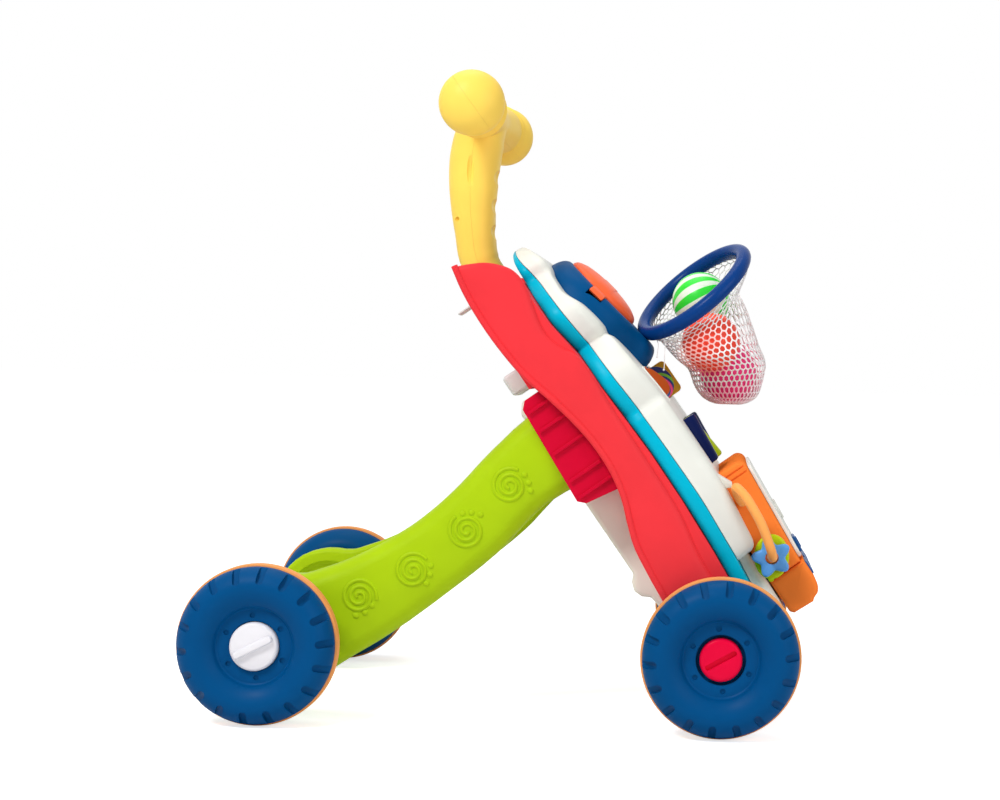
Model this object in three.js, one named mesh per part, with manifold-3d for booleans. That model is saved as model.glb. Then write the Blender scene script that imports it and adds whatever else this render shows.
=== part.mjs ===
// Baby push walker: a leaning play panel with a ball hoop, a T handle and four wheels.
// Millimetres. +X is forward, +Y is the walker's left and +Z is up.
import * as THREE from 'three';
import { mergeVertices } from 'three/addons/utils/BufferGeometryUtils.js';
import Module from 'manifold-3d';

const wasm = await Module();
wasm.setup();

const degree = Math.PI / 180;
const quarter = Math.PI / 2;

// Gaps that every piece keeps
const seat = 0.3; // between pieces that rest on each other
const running = 0.5; // round a piece that moves
const overrun = 3; // how far a cutter passes the face that it opens

// How the walker stands: the play body leans back about the front axle
const stance = { wheelBase: 338.7, track: 305, lean: 36 * degree };

const wheel = {
  facets: 24,
  radius: 59.5,
  width: 44,
  bandWidth: 9,
  bandDepth: 5,
  bandProud: 1.9,
  hubRadius: 27,
  hubRecess: 9.5,
  innerRecess: 8,
  pocketRadius: 18.2,
  webThickness: 3,
  notchCount: 18,
  notchWidth: 5.6,
  notchLength: 17,
  notchDepth: 1.7,
  // Radial place between hub and shoulder, and how far out, of the middle of a notch
  notchShares: [0.83, 0.63],
  // Radial place between hub and shoulder, and how far out between band and side
  outerSideShares: [[0.94, 0.46], [0.66, 1], [0.2, 0.84]],
  innerSideShares: [[0.7, 1]],
};

const axle = { radius: 4, sides: 12, endGrip: 7 };
const bossSides = 24;

const knob = {
  radius: 17.7, rise: 2.6, edge: 1.6, ribWidth: 5.5, ribHeight: 3.4, ribTaperShare: 0.6, ribTurn: 28 * degree,
};
const slottedCap = { radius: 15.6, rise: 1.2, edge: 2, slotWidth: 3.2, slotDepth: 2.4, slotTurn: 30 * degree };
const capSides = 16;

// Leaned frame: u is square to the panel, v runs up it, both from the front axle
const cheek = {
  height: 350,
  depth: 36,
  thickness: 8,
  outerFace: 126,
  edge: 3.5,
  beadRadius: 2.2,
  beadSides: 6,
  bossRadius: 10,
  footRadius: 24,
  footSteps: 7,
  // [u, v] as shares of depth and height, up the front, over the top and down the rear
  frontShares: [
    [0.7, 0.12], [0.75, 0.19], [0.92, 0.29], [0.97, 0.41], [1, 0.58], [1.04, 0.65], [0.98, 0.7],
    [0.82, 0.73], [0.72, 0.765], [0.74, 0.8], [0.82, 0.835], [0.91, 0.872], [0.93, 0.9], [0.86, 0.93],
    [0.74, 0.948], [0.52, 0.97], [0.25, 0.986],
  ],
  rearShares: [
    [-0.13, 1.003], [-0.23, 0.95], [-0.29, 0.865], [-0.27, 0.79], [-0.2, 0.726], [0, 0.643], [0.12, 0.585],
    [0.2, 0.52], [0.18, 0.443], [0.07, 0.389], [-0.12, 0.337], [-0.26, 0.294], [-0.35, 0.23], [-0.42, 0.15],
  ],
};

const panel = {
  edgeShare: 0.8, // most of a shell's side that its rounding may take
  edgeBendShares: [0.33, 0.4], // out and in, where the rounding bends
  rimBendShare: 0.25,
  foot: -8,
  underTop: 3.5,
  standOff: 31,
  depth: 42,
  halfWidth: 117.5,
  sideStep: 1,
  edge: 9,
  // [along, back, seam, face, face width, rim width] as shares of length, depth and half width
  stationShares: [
    [0, 0.03, 0.26, 0.56, 0.64, 0.78], [0.025, 0.03, 0.28, 0.59, 0.73, 0.86], [0.08, 0.06, 0.33, 0.6, 0.73, 0.92],
    [0.151, 0.115, 0.4, 0.6, 0.73, 0.95], [0.156, 0.12, 0.405, 0.72, 0.88, 0.95], [0.167, 0.125, 0.415, 0.81, 0.93, 0.95],
    [0.2, 0.15, 0.435, 0.85, 0.95, 0.96], [0.33, 0.205, 0.5, 0.965, 0.99, 0.99], [0.45, 0.215, 0.49, 0.97, 0.99, 0.99],
    [0.522, 0.19, 0.47, 0.965, 0.975, 0.975], [0.541, 0.18, 0.465, 0.955, 0.94, 0.94], [0.56, 0.175, 0.46, 0.945, 0.96, 0.96],
    [0.62, 0.155, 0.43, 0.89, 1, 1], [0.677, 0.145, 0.4, 0.83, 0.93, 0.93], [0.708, 0.13, 0.38, 0.78, 0.84, 0.84],
    [0.721, 0.115, 0.37, 0.72, 0.8, 0.8], [0.737, 0.1, 0.355, 0.75, 0.84, 0.84], [0.798, 0.03, 0.31, 0.67, 0.9, 0.9],
    [0.855, 0.015, 0.27, 0.49, 0.8, 0.8], [0.891, 0, 0.24, 0.485, 0.66, 0.66], [0.911, 0.005, 0.21, 0.52, 0.6, 0.6],
    [0.928, 0.015, 0.19, 0.52, 0.61, 0.61], [0.959, 0.025, 0.14, 0.44, 0.55, 0.55], [0.982, 0.055, 0.125, 0.355, 0.41, 0.41],
    [0.994, 0.09, 0.13, 0.275, 0.26, 0.26], [1, 0.11, 0.14, 0.22, 0.12, 0.12],
  ],
  // Side view of the wedge that shields the top of the bead rail: [along, out]
  wedgeShares: [[0.338, 0.9], [0.337, 0.955], [0.3, 1.1], [0.29, 1.06], [0.3, 0.9]],
  wedgeReach: 100,
  wedgeWidth: 14,
};

const frame = {
  low: 14,
  rear: 9,
  shelf: 243,
  upperRear: -8.5,
  // Top of the frame, inside the cheeks, from the front to the rear
  crownShares: [[0.84, 0.9], [0.72, 0.925], [0.5, 0.948], [0.2, 0.966], [-0.1, 0.973], [-0.2, 0.945]],
};

const collar = {
  outerFace: 115,
  wall: 3,
  front: 8.7,
  top: 238,
  bottom: 143,
  rearTop: -21.5,
  rearBottom: -26.5,
  corner: 5,
  lowCorner: 10,
  ribWidth: 2.4,
  ribHeight: 2.6,
  ribShares: [0.1, 0.27, 0.48, 0.73, 0.88],
};

const leg = {
  thickness: 30,
  tenon: 16,
  lobeRadius: 46,
  lobeSteps: 9,
  lobeStart: 30 * degree,
  lobeSweep: 245 * degree,
  edge: 8,
  seamShare: 0.45,
  bossRadius: 10,
  dishRadius: 35,
  dishDepth: 5,
  dishBossRadius: 13,
  dishSides: 16,
  depth: 60,
  // [distance back from the front axle's line, height over the rear axle] as shares of reach and depth
  upperShares: [
    [0.845, 0.42], [0.8, 0.355], [0.745, 0.285], [0.68, 0.23], [0.6, 0.185], [0.52, 0.165], [0.43, 0.19],
    [0.34, 0.255], [0.26, 0.34], [0.19, 0.4], [0.12, 0.4], [0.06, 0.4],
  ],
  lowerShares: [
    [0.06, -0.59], [0.12, -0.59], [0.19, -0.58], [0.27, -0.645], [0.34, -0.72], [0.42, -0.767], [0.52, -0.795],
    [0.65, -0.81], [0.76, -0.82], [0.86, -0.79],
  ],
};

const cover = {
  halfWidth: 78,
  rear: -26.5,
  low: 47,
  high: 240,
  edge: 4,
  // [u from the frame to the rear face, v from low to high]
  outlineShares: [
    [0, 0], [0.93, 0], [0.97, 0.06], [1.13, 0.085], [1.2, 0.12], [1.13, 0.155], [1, 0.18], [1, 0.86], [1.07, 0.92],
    [1.07, 0.96], [0.9, 1], [0, 1],
  ],
};

const latch = { rear: -31.5, depthIn: 6, halfWidth: 20, low: 249.5, high: 267.5, edge: 2, travel: 3 };
const tab = { rear: -32.3, underTop: 9.5, thickness: 2, halfWidth: 9, sink: 1.8 };

// The handle's places are worked out from the top of its socket, upright
const handle = {
  rise: 128,
  bow: 17.8,
  barBack: 6.8,
  spread: 102,
  knobRadius: 25,
  knobHalfWidth: 20,
  gripRadius: 20,
  ribHeight: 1.8,
  ribPitch: 5.5,
  ribCount: 4,
  neckRadius: 15.5,
  neckSpread: 24,
  // Turns from the middle of a knob at which its outline bends
  knobTurns: [-40, 0, 35, 65],
  barSides: 14,
  stemSides: 12,
  stemHalfWidth: 21,
  tenonDepth: 46,
  tenonU: 7,
  seamTurn: 37 * degree,
  seamReach: 29,
  screwRadius: 1.8,
  screwDepth: 6,
  screwSides: 8,
  screwBack: 12,
  screwShare: 0.36,
  dentLength: 6.5,
  dentDepth: 3,
  dentHalfWidth: 8,
  dentOut: 1.5,
  dentSides: 10,
  dentRows: 6,
  dentShares: [0.634, 0.455, 0.291],
  stemHalfDepth: 15.9,
  tenonShare: 0.8,
  // Down the stem from the bar: [back, up, half depth, half width] as shares of the bow, the rise and the base
  stemShares: [
    [0.4, 1.006, 1.1, 1.15], [0.79, 0.878, 1.28, 1.12], [0.95, 0.751, 1.3, 1.08], [1, 0.586, 1.24, 1.02],
    [0.972, 0.448, 1.14, 1], [0.854, 0.287, 1.03, 0.98], [0.585, 0.101, 0.98, 0.96],
  ],
};

const housing = {
  u: 55.5,
  v: 262.5,
  tilt: 10.2 * degree,
  halfWidth: 56,
  halfHeight: 54,
  height: 20.8,
  well: 7,
  // Right half of the outline from the top down: [side, up]
  outlineShares: [
    [0, 1.09], [0.4, 1.02], [0.72, 0.83], [0.93, 0.5], [1, 0.12], [0.95, -0.2], [0.78, -0.44], [0.62, -0.57],
    [0.52, -0.72], [0.45, -0.86], [0.3, -0.96], [0, -1],
  ],
  // [height, side, up] of each ring
  ringShares: [[0, 1, 1], [0.43, 0.97, 0.99], [0.7, 0.93, 0.955], [0.89, 0.86, 0.9], [1, 0.78, 0.845]],
};

const button = {
  radius: 34.3,
  offset: 13.1,
  height: 10,
  sides: 20,
  skirt: 3.6,
  travel: 2.5,
  stemRadius: 5,
  stemLength: 9,
  tabWidth: 15,
  tabReach: 49,
  tabThickness: 3,
  // [radius, height] from the rim up over the dome
  domeShares: [[1, 0], [1, 0.18], [0.93, 0.47], [0.7, 0.8], [0.36, 0.97], [0, 1]],
  // Top face of a tab: [out, height] as shares of its reach and the housing's height
  tabShares: [[0.62, 1.06], [0.8, 1], [1, 0.73]],
};

const hoop = {
  ahead: 80.7,
  below: 23.7,
  radius: 50.4,
  tube: 6,
  turn: 18.5 * degree,
  pitch: 4.7 * degree,
  segments: 24,
  tubeSides: 8,
  pinRadius: 4,
  pinSides: 12,
  pinLength: 9,
  sweepSides: 28,
  sweepRows: 16,
};

const net = {
  wall: 1,
  sides: 16,
  reach: 48,
  drop: 91,
  // Below the ring: [forward, left, down, half length, half width, lean] as shares
  sectionShares: [
    [0.1, 0, 0.19, 0.79, 0.95, 1], [0.26, -0.02, 0.35, 0.74, 1.04, 0.76], [0.43, -0.02, 0.52, 0.69, 1.04, 0.42],
    [0.61, 0.04, 0.68, 0.65, 0.96, 0.16], [0.63, 0.25, 0.82, 0.58, 0.75, 0.1], [0.66, 0.34, 0.94, 0.46, 0.51, 0.04],
    [0.65, 0.37, 1, 0.16, 0.17, 0],
  ],
};

const ball = {
  radius: 23.5,
  around: 12,
  rows: 8,
  // [forward, left, up] from the ring's centre, as shares of the radius
  placeShares: { green: [0.24, 0.54, -0.285], orange: [0.648, -0.7, -1.724], pink: [1.27, 0.86, -2.79] },
};

const tail = {
  radius: 0.7, sides: 8, steps: 6, knotRadius: 1.5, knotSides: 6, knotRows: 4, lean: 2,
  angles: [210 * degree, 221 * degree], lengths: [13, 25], pathShares: [0, 0.35, 0.7, 1],
};

const tile = {
  centreU: 68.5,
  centreV: 193.5,
  pitch: 34,
  half: 14.8,
  thickness: 3.4,
  corner: 4,
  pinRadius: 2,
  pinLength: 1.6,
  pinSides: 8,
  sides: 18,
  leafLobes: 3,
  leafShare: 0.1,
  // How far each tile is turned from facing sideways
  turns: { leaf: 54 * degree, disc: 28 * degree, square: 2 * degree },
};
const roller = { centreU: 68.5, centreV: 137.2, wide: 13, narrow: 9.6, halfLength: 20.5, corner: 2, sides: 14 };
const window = { wall: 1.2, reach: 4, lip: 0.9, lipWidth: 2 };

const unit = {
  halfWidth: 78,
  low: 16.7,
  high: 108,
  back: 58,
  front: 93.4,
  edge: 4,
  // Side outline: [u from back to front, v from low to high]; the front from low to the fourth row is flat
  sideShares: [[0, 0], [0.795, 0], [0.985, 0.88], [1, 0.93], [0.97, 0.975], [0.9, 0.99], [0, 1]],
  grooveWidth: 1.6,
  grooveDepth: 1,
  grooveShares: [0.945, 0.895],
  fasciaMargin: 9,
  fasciaLow: 2,
  fasciaHigh: 84,
  fasciaThickness: 2.7,
  fasciaCorner: 8,
  fasciaEdge: 1.2,
  fasciaBossRadius: 9,
  fasciaBossHeight: 2,
  fasciaBossSides: 20,
  fasciaBossUp: 38,
  sliderUp: 11,
  sliderPlace: -43,
  sliderLength: 30,
  sliderHeight: 13,
  sliderProud: 2.2,
  sliderTravel: 6,
  endBottom: -14.5,
  endBack: 57.2,
  endFront: 88.4,
  // Side outline of the end block: [u from back to front, v from the bottom up]
  endShares: [
    [0, 1], [0, 0.12], [0.08, 0.03], [0.63, 0], [0.7, 0.06], [0.84, 0.12], [0.95, 0.28], [0.99, 0.5], [1, 0.75], [1, 1],
  ],
  keyCount: 3,
  keyPitch: 46,
  keyLength: 36,
  keyHeight: 11,
  keyV: 7.5,
  keyProud: 1.2,
  keyDepth: 7,
  keyTravel: 2,
};

const rail = {
  radius: 3.6,
  sides: 8,
  holeSides: 10,
  steps: 18,
  reach: 40,
  high: 94,
  low: 35,
  sink: 5,
  // [u, v between low and high, reach out from the unit's side]
  centreU: 75,
  pathShares: [
    [1, 0.78, 0.28], [1.015, 0.93, 0.6], [1.045, 1, 0.83], [1.07, 0.83, 0.97], [1.065, 0.65, 1.02], [1.05, 0.46, 1.04],
    [1.015, 0.26, 1.02], [0.975, 0.08, 0.97], [0.95, 0, 0.84], [0.945, 0, 0.7],
  ],
};

const bead = {
  bore: 5.1,
  thickness: 6,
  starRadius: 15.6,
  starPoints: 5,
  // Radius of the four corners from one tip to the next
  starShares: [1, 0.87, 0.68, 0.87],
  ovalHalfLength: 17.5,
  ovalHalfWidth: 13.4,
  ovalSides: 16,
  boreSides: 12,
  nubSides: 8,
  nubRadius: 2.6,
  nubHalfLength: 2,
  placeShare: 0.5,
};

const colours = {
  navy: '#0b4a7d', band: '#f0a05c', knobWhite: '#f1eff3', capRed: '#e5093c', steel: '#b9bcc0', red: '#ee3f45',
  collarRed: '#d90a35', lime: '#a6cc14', beige: '#efe7dc', white: '#f4f4ee', teal: '#08b3cf', yellow: '#fdd25c',
  hoopNavy: '#123a80', coral: '#ff6a3c', green: '#2ee53a', pink: '#ff2f7d', ballOrange: '#ff4a3a', thread: '#f3f0ef',
  tileYellow: '#fbb42d', tileDisc: '#2f3d78', tileBrown: '#b9521f', rollerNavy: '#1b2a62', rollerLime: '#a9c21a',
  orange: '#fb7a2c', railOrange: '#fdac5b', starBlue: '#4b8fd2', gearLime: '#c3d60a', keyBlue: '#14508f', grey: '#dcdad8',
};

// Names one piece and gives it a finish of its own
function piece(name, geometry, colour, roughness = 0.42, metalness = 0) {
  const material = new THREE.MeshStandardMaterial({ color: colours[colour], roughness, metalness });
  const mesh = new THREE.Mesh(geometry, material);
  mesh.name = name;
  return mesh;
}

function volumeOf(geometry) {
  const place = geometry.getAttribute('position');
  const index = geometry.getIndex();
  const corner = [new THREE.Vector3(), new THREE.Vector3(), new THREE.Vector3()];
  let total = 0;
  for (let i = 0; i < index.count; i += 3) {
    corner.forEach((point, k) => point.fromBufferAttribute(place, index.getX(i + k)));
    total += corner[0].dot(corner[1].clone().cross(corner[2]));
  }
  return total;
}

// One closed skin with shared corners and its faces pointing out
function sealed(geometry) {
  const bare = geometry.clone();
  bare.deleteAttribute('normal');
  bare.deleteAttribute('uv');
  const merged = mergeVertices(bare);
  const corners = [];
  const index = merged.getIndex();
  for (let i = 0; i < index.count; i += 3) {
    const face = [index.getX(i), index.getX(i + 1), index.getX(i + 2)];
    if (new Set(face).size === 3) corners.push(face);
  }
  merged.setIndex(corners.flat());
  if (volumeOf(merged) < 0) merged.setIndex(corners.flatMap(([a, b, c]) => [a, c, b]));
  return merged;
}

function solidOf(geometry) {
  const skin = sealed(geometry);
  return new wasm.Manifold(new wasm.Mesh({
    numProp: 3,
    vertProperties: Float32Array.from(skin.getAttribute('position').array),
    triVerts: Uint32Array.from(skin.getIndex().array),
  }));
}

function geometryOf(solid) {
  const mesh = solid.getMesh();
  const geometry = new THREE.BufferGeometry();
  geometry.setAttribute('position', new THREE.BufferAttribute(mesh.vertProperties, 3));
  geometry.setIndex(new THREE.BufferAttribute(mesh.triVerts, 1));
  geometry.computeVertexNormals();
  return geometry;
}

function cut(geometry, cutters) {
  return geometryOf(cutters.reduce((rest, cutter) => rest.subtract(solidOf(cutter)), solidOf(geometry)));
}

function join(geometry, others) {
  return geometryOf(others.reduce((whole, other) => whole.add(solidOf(other)), solidOf(geometry)));
}

// Skin through rings of points, closed at both ends by the given triangles
function loft(rings, capTriangles) {
  const count = rings[0].length;
  const index = [];
  for (let ring = 0; ring + 1 < rings.length; ring += 1) {
    for (let i = 0; i < count; i += 1) {
      const a = ring * count + i;
      const b = ring * count + ((i + 1) % count);
      index.push(a, b, b + count, a, b + count, a + count);
    }
  }
  const last = (rings.length - 1) * count;
  capTriangles.forEach(([a, b, c]) => index.push(c, b, a, last + a, last + b, last + c));
  const geometry = new THREE.BufferGeometry();
  const places = rings.flat().flatMap((point) => [point.x, point.y, point.z]);
  geometry.setAttribute('position', new THREE.Float32BufferAttribute(places, 3));
  geometry.setIndex(index);
  return sealed(geometry);
}

const fan = (count) => Array.from({ length: count - 2 }, (_, i) => [0, i + 1, i + 2]);

const anticlockwise = (points) => (THREE.ShapeUtils.isClockWise(points) ? [...points].reverse() : points);

// Moves every side of an outline inwards by the same distance
function insetOutline(outline, distance) {
  return outline.map((point, i) => {
    const before = outline[(i + outline.length - 1) % outline.length];
    const after = outline[(i + 1) % outline.length];
    const incoming = point.clone().sub(before).normalize();
    const outgoing = after.clone().sub(point).normalize();
    const inward = new THREE.Vector2(-incoming.y - outgoing.y, incoming.x + outgoing.x).normalize();
    const miter = Math.max(inward.dot(new THREE.Vector2(-incoming.y, incoming.x)), 0.5);
    return point.clone().addScaledVector(inward, distance / miter);
  });
}

// Levels of a slab whose upper edge, and lower edge if asked for, is rounded
function roundedLevels(low, high, upperEdge, lowerEdge = 0, steps = 3) {
  const arc = Array.from({ length: steps }, (_, i) => (quarter * (i + 1)) / steps);
  const upper = arc.map((a) => [high - upperEdge + upperEdge * Math.sin(a), upperEdge * (1 - Math.cos(a))]);
  const lower = arc.map((a) => [low + lowerEdge - lowerEdge * Math.sin(a), lowerEdge * (1 - Math.cos(a))]);
  const start = lowerEdge > 0 ? [...lower.reverse(), [low + lowerEdge, 0]] : [[low, 0]];
  return [...start, [high - upperEdge, 0], ...(upperEdge > 0 ? upper : [])];
}

// Stacks an outline over levels of [height, inset]
function slab(points, levels) {
  const outline = anticlockwise(points);
  const rings = levels.map(([height, inset]) => insetOutline(outline, inset)
    .map((point) => new THREE.Vector3(point.x, point.y, height)));
  return loft(rings, THREE.ShapeUtils.triangulateShape(outline, []));
}

// A slab's outline lies in the side view and its height runs to the right, or lies in the front view
// and its height runs forward
const toRight = new THREE.Matrix4().makeRotationX(quarter);
const axisX = new THREE.Vector3(1, 0, 0);
const axisY = new THREE.Vector3(0, 1, 0);
const axisZ = new THREE.Vector3(0, 0, 1);
const toFront = new THREE.Matrix4().makeBasis(axisY, axisZ, axisX);
const sideSlab = (points, levels) => slab(points, levels).applyMatrix4(toRight);
const frontSlab = (points, levels) => slab(points, levels).applyMatrix4(toFront);
const mirrored = (geometry) => sealed(geometry.clone().scale(1, -1, 1));

function roundedRectangle(centreX, centreY, halfX, halfY, corner, steps = 3) {
  const points = [];
  [[1, -1], [1, 1], [-1, 1], [-1, -1]].forEach(([sideX, sideY], i) => {
    for (let step = 0; step <= steps; step += 1) {
      const angle = quarter * (i - 1 + step / steps);
      points.push(new THREE.Vector2(
        centreX + sideX * (halfX - corner) + corner * Math.cos(angle),
        centreY + sideY * (halfY - corner) + corner * Math.sin(angle),
      ));
    }
  });
  return points;
}

function block(low, high) {
  const size = new THREE.Vector3().subVectors(high, low);
  const centre = new THREE.Vector3().addVectors(high, low).multiplyScalar(0.5);
  return new THREE.BoxGeometry(size.x, size.y, size.z).translate(centre.x, centre.y, centre.z);
}

// A round bar along Y between two places
function barAlongY(radius, from, to, sides) {
  return new THREE.CylinderGeometry(radius, radius, to - from, sides).translate(0, (from + to) / 2, 0);
}

function turned(profile, sides, start = 0) {
  const points = profile.map(([radius, height]) => new THREE.Vector2(radius, height));
  return sealed(new THREE.LatheGeometry(points, sides, start));
}

function tube(points, radius, sides, steps) {
  const curve = new THREE.CatmullRomCurve3(points, false, 'centripetal');
  const section = new THREE.Shape();
  for (let i = 0; i < sides; i += 1) {
    const angle = (2 * Math.PI * i) / sides;
    const place = [radius * Math.cos(angle), radius * Math.sin(angle)];
    if (i === 0) section.moveTo(...place);
    else section.lineTo(...place);
  }
  section.closePath();
  return sealed(new THREE.ExtrudeGeometry(section, { steps, bevelEnabled: false, extrudePath: curve }));
}

const walker = new THREE.Group();
const axleHeight = wheel.radius * Math.cos(Math.PI / wheel.facets);
const leaned = new THREE.Group();
leaned.position.z = axleHeight;
leaned.rotation.y = -stance.lean;
walker.add(leaned);

// Places worked out in the leaned frame and in the walker's own
const leanedMatrix = new THREE.Matrix4().makeRotationY(-stance.lean).setPosition(0, 0, axleHeight);
const unleanedMatrix = leanedMatrix.clone().invert();
const fromLeaned = (u, y, v) => new THREE.Vector3(u, y, v).applyMatrix4(leanedMatrix);
const toLeaned = (x, y, z) => new THREE.Vector3(x, y, z).applyMatrix4(unleanedMatrix);
const rearAxle = toLeaned(-stance.wheelBase, 0, axleHeight);

const wheelHalf = wheel.width / 2;
const wheelMid = stance.track / 2;
const shoulder = wheel.radius - wheel.bandProud;
const grooveRadius = wheel.radius - wheel.bandDepth - seat;
const grooveEdge = wheel.bandWidth / 2 + seat;
const axleBore = axle.radius + seat;
const hubFace = wheelHalf - wheel.hubRecess;
const innerHubFace = wheelHalf - wheel.innerRecess;
const wheelStart = Math.PI / wheel.facets;
const bossReach = wheelMid - innerHubFace - seat;

function wheelSide(shares) {
  return shares.map(([radial, axial]) => [
    wheel.hubRadius + radial * (shoulder - wheel.hubRadius),
    grooveEdge + axial * (wheelHalf - grooveEdge),
  ]);
}

// Outer half of a wheel, with the tread notches that run round its shoulder
function outerHalf() {
  const profile = [
    [axleBore, seat / 2], [grooveRadius, seat / 2], [grooveRadius, grooveEdge], [shoulder, grooveEdge],
    ...wheelSide(wheel.outerSideShares), [wheel.hubRadius, hubFace], [wheel.pocketRadius, hubFace],
    [wheel.pocketRadius, wheel.webThickness], [axleBore, wheel.webThickness], [axleBore, seat / 2],
  ];
  const body = turned(profile, wheel.facets, wheelStart);
  const notches = [];
  for (let i = 0; i < wheel.notchCount; i += 1) {
    const notch = block(
      new THREE.Vector3(-wheel.notchWidth / 2, -wheel.notchDepth, -wheel.notchLength / 2),
      new THREE.Vector3(wheel.notchWidth / 2, wheel.notchLength, wheel.notchLength / 2),
    );
    const [[radial, out]] = wheelSide([wheel.notchShares]);
    notch.rotateX(quarter / 2).translate(0, out, radial);
    notch.rotateY((2 * Math.PI * i) / wheel.notchCount + wheelStart);
    notches.push(notch);
  }
  return cut(body, notches);
}

function innerHalf() {
  const side = wheelSide(wheel.innerSideShares).map(([radius, height]) => [radius, -height]);
  return turned([
    [axleBore, -innerHubFace], [wheel.hubRadius, -innerHubFace], ...side.reverse(), [shoulder, -grooveEdge],
    [grooveRadius, -grooveEdge], [grooveRadius, -seat / 2], [axleBore, -seat / 2], [axleBore, -innerHubFace],
  ], wheel.facets, wheelStart);
}

function treadBand() {
  const half = wheel.bandWidth / 2;
  const low = wheel.radius - wheel.bandDepth;
  return turned([[low, -half], [wheel.radius, -half], [wheel.radius, half], [low, half], [low, -half]],
    wheel.facets, wheelStart);
}

// A cap seats in the wheel's pocket. The front one grips the axle's end; the rear one turns in the wheel alone
const capSeat = wheel.webThickness + seat;
const gripTop = capSeat + axle.endGrip + seat;

function capBody(foot, radius, rise, edge) {
  const top = hubFace + rise;
  return turned([...foot, [radius, capSeat], [radius, top - edge], [radius - edge, top], [0, top]], capSides);
}

function fingerKnob() {
  const top = hubFace + knob.rise;
  const reach = knob.radius - knob.edge;
  const rib = slab([
    new THREE.Vector2(-reach, -knob.ribWidth / 2), new THREE.Vector2(reach, (-knob.ribWidth * knob.ribTaperShare) / 2),
    new THREE.Vector2(reach, (knob.ribWidth * knob.ribTaperShare) / 2), new THREE.Vector2(-reach, knob.ribWidth / 2),
  ], [[top - knob.edge, 0], [top, 0], [top + knob.ribHeight, knob.edge]]);
  rib.rotateX(-quarter).rotateY(knob.ribTurn + Math.PI);
  return join(capBody([[0, capSeat]], knob.radius, knob.rise, knob.edge), [rib]);
}

function slottedPlug() {
  const top = hubFace + slottedCap.rise;
  const slot = block(
    new THREE.Vector3(-wheel.radius, top - slottedCap.slotDepth, -slottedCap.slotWidth / 2),
    new THREE.Vector3(wheel.radius, top + overrun, slottedCap.slotWidth / 2),
  );
  slot.rotateY(slottedCap.slotTurn);
  const grip = [[0, gripTop], [axleBore, gripTop], [axleBore, capSeat]];
  return cut(capBody(grip, slottedCap.radius, slottedCap.rise, slottedCap.edge), [slot]);
}

// The geometry faces +Y, so a right wheel is turned half round
function addWheels() {
  const ends = [
    ['front', 0, 'front_cap', slottedPlug, 'capRed'],
    ['rear', -stance.wheelBase, 'rear_knob', fingerKnob, 'knobWhite'],
  ];
  const outer = outerHalf();
  const inner = innerHalf();
  const band = treadBand();
  ends.forEach(([end, x, capName, makeCap, capColour]) => {
    const cap = makeCap();
    [['left', 1], ['right', -1]].forEach(([side, way]) => {
      const hub = new THREE.Group();
      hub.position.set(x, way * wheelMid, axleHeight);
      hub.rotation.z = way > 0 ? 0 : Math.PI;
      hub.add(piece(`${end}_wheel_outer_${side}`, outer, 'navy', 0.36));
      hub.add(piece(`${end}_wheel_inner_${side}`, inner, 'navy', 0.4));
      hub.add(piece(`${end}_tread_band_${side}`, band, 'band', 0.5));
      hub.add(piece(`${capName}_${side}`, cap, capColour, 0.3));
      walker.add(hub);
    });
  });
}

function addAxles() {
  const rods = [['front_axle', 0, capSeat + axle.endGrip], ['rear_axle', -stance.wheelBase, wheel.webThickness]];
  rods.forEach(([name, x, reach]) => {
    const end = wheelMid + reach;
    const rod = piece(name, sealed(barAlongY(axle.radius, -end, end, axle.sides)), 'steel', 0.3, 0.9);
    rod.position.set(x, 0, axleHeight);
    walker.add(rod);
  });
}

// The panel stops just under the top of the cheeks
const panelLength = cheek.height - panel.underTop - panel.foot;

function cheekOutline() {
  const place = ([u, v]) => [u * cheek.depth, v * cheek.height];
  const foot = [];
  for (let i = 0; i <= cheek.footSteps; i += 1) {
    const angle = Math.PI + (Math.PI * i) / cheek.footSteps;
    foot.push([cheek.footRadius * Math.cos(angle), cheek.footRadius * Math.sin(angle)]);
  }
  return [...cheek.frontShares.map(place), ...cheek.rearShares.map(place), ...foot]
    .map(([x, y]) => new THREE.Vector2(x, y));
}

// Side cheek with a bead down its rear edge and a boss that keeps the wheel off it
function cheekPlate() {
  const outer = cheek.outerFace;
  const inner = outer - cheek.thickness;
  const plate = sideSlab(cheekOutline(), roundedLevels(inner, outer, cheek.edge, 0, 2));
  const boss = barAlongY(cheek.bossRadius, -bossReach, -outer + overrun, bossSides);
  const path = cheek.rearShares.slice(1, -1).map(([u, v]) => new THREE.Vector3(
    u * cheek.depth + cheek.edge,
    cheek.beadRadius - outer,
    v * cheek.height,
  ));
  const bead = tube(path, cheek.beadRadius * Math.SQRT2, cheek.beadSides, path.length);
  const bore = barAlongY(axleBore, -bossReach - overrun, -inner + overrun, axle.sides);
  return cut(join(plate, [sealed(boss), bead]), [bore]);
}

// Size of the panel at a height: its back, the seam between its two shells, its face and its half width
function panelAt(v) {
  const along = (v - panel.foot) / panelLength;
  const rows = panel.stationShares;
  const next = Math.max(1, rows.findIndex((row) => row[0] >= Math.min(along, 1)));
  const [low, high] = [rows[next - 1], rows[next]];
  const mix = (along - low[0]) / (high[0] - low[0]);
  const share = low.map((value, i) => value + (high[i] - value) * mix);
  return {
    back: panel.standOff + share[1] * panel.depth,
    seam: panel.standOff + share[2] * panel.depth,
    face: panel.standOff + share[3] * panel.depth,
    half: share[4] * panel.halfWidth,
    rimHalf: share[5] * panel.halfWidth,
  };
}

const stationHeights = panel.stationShares.map(([along]) => panel.foot + along * panelLength);

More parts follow.
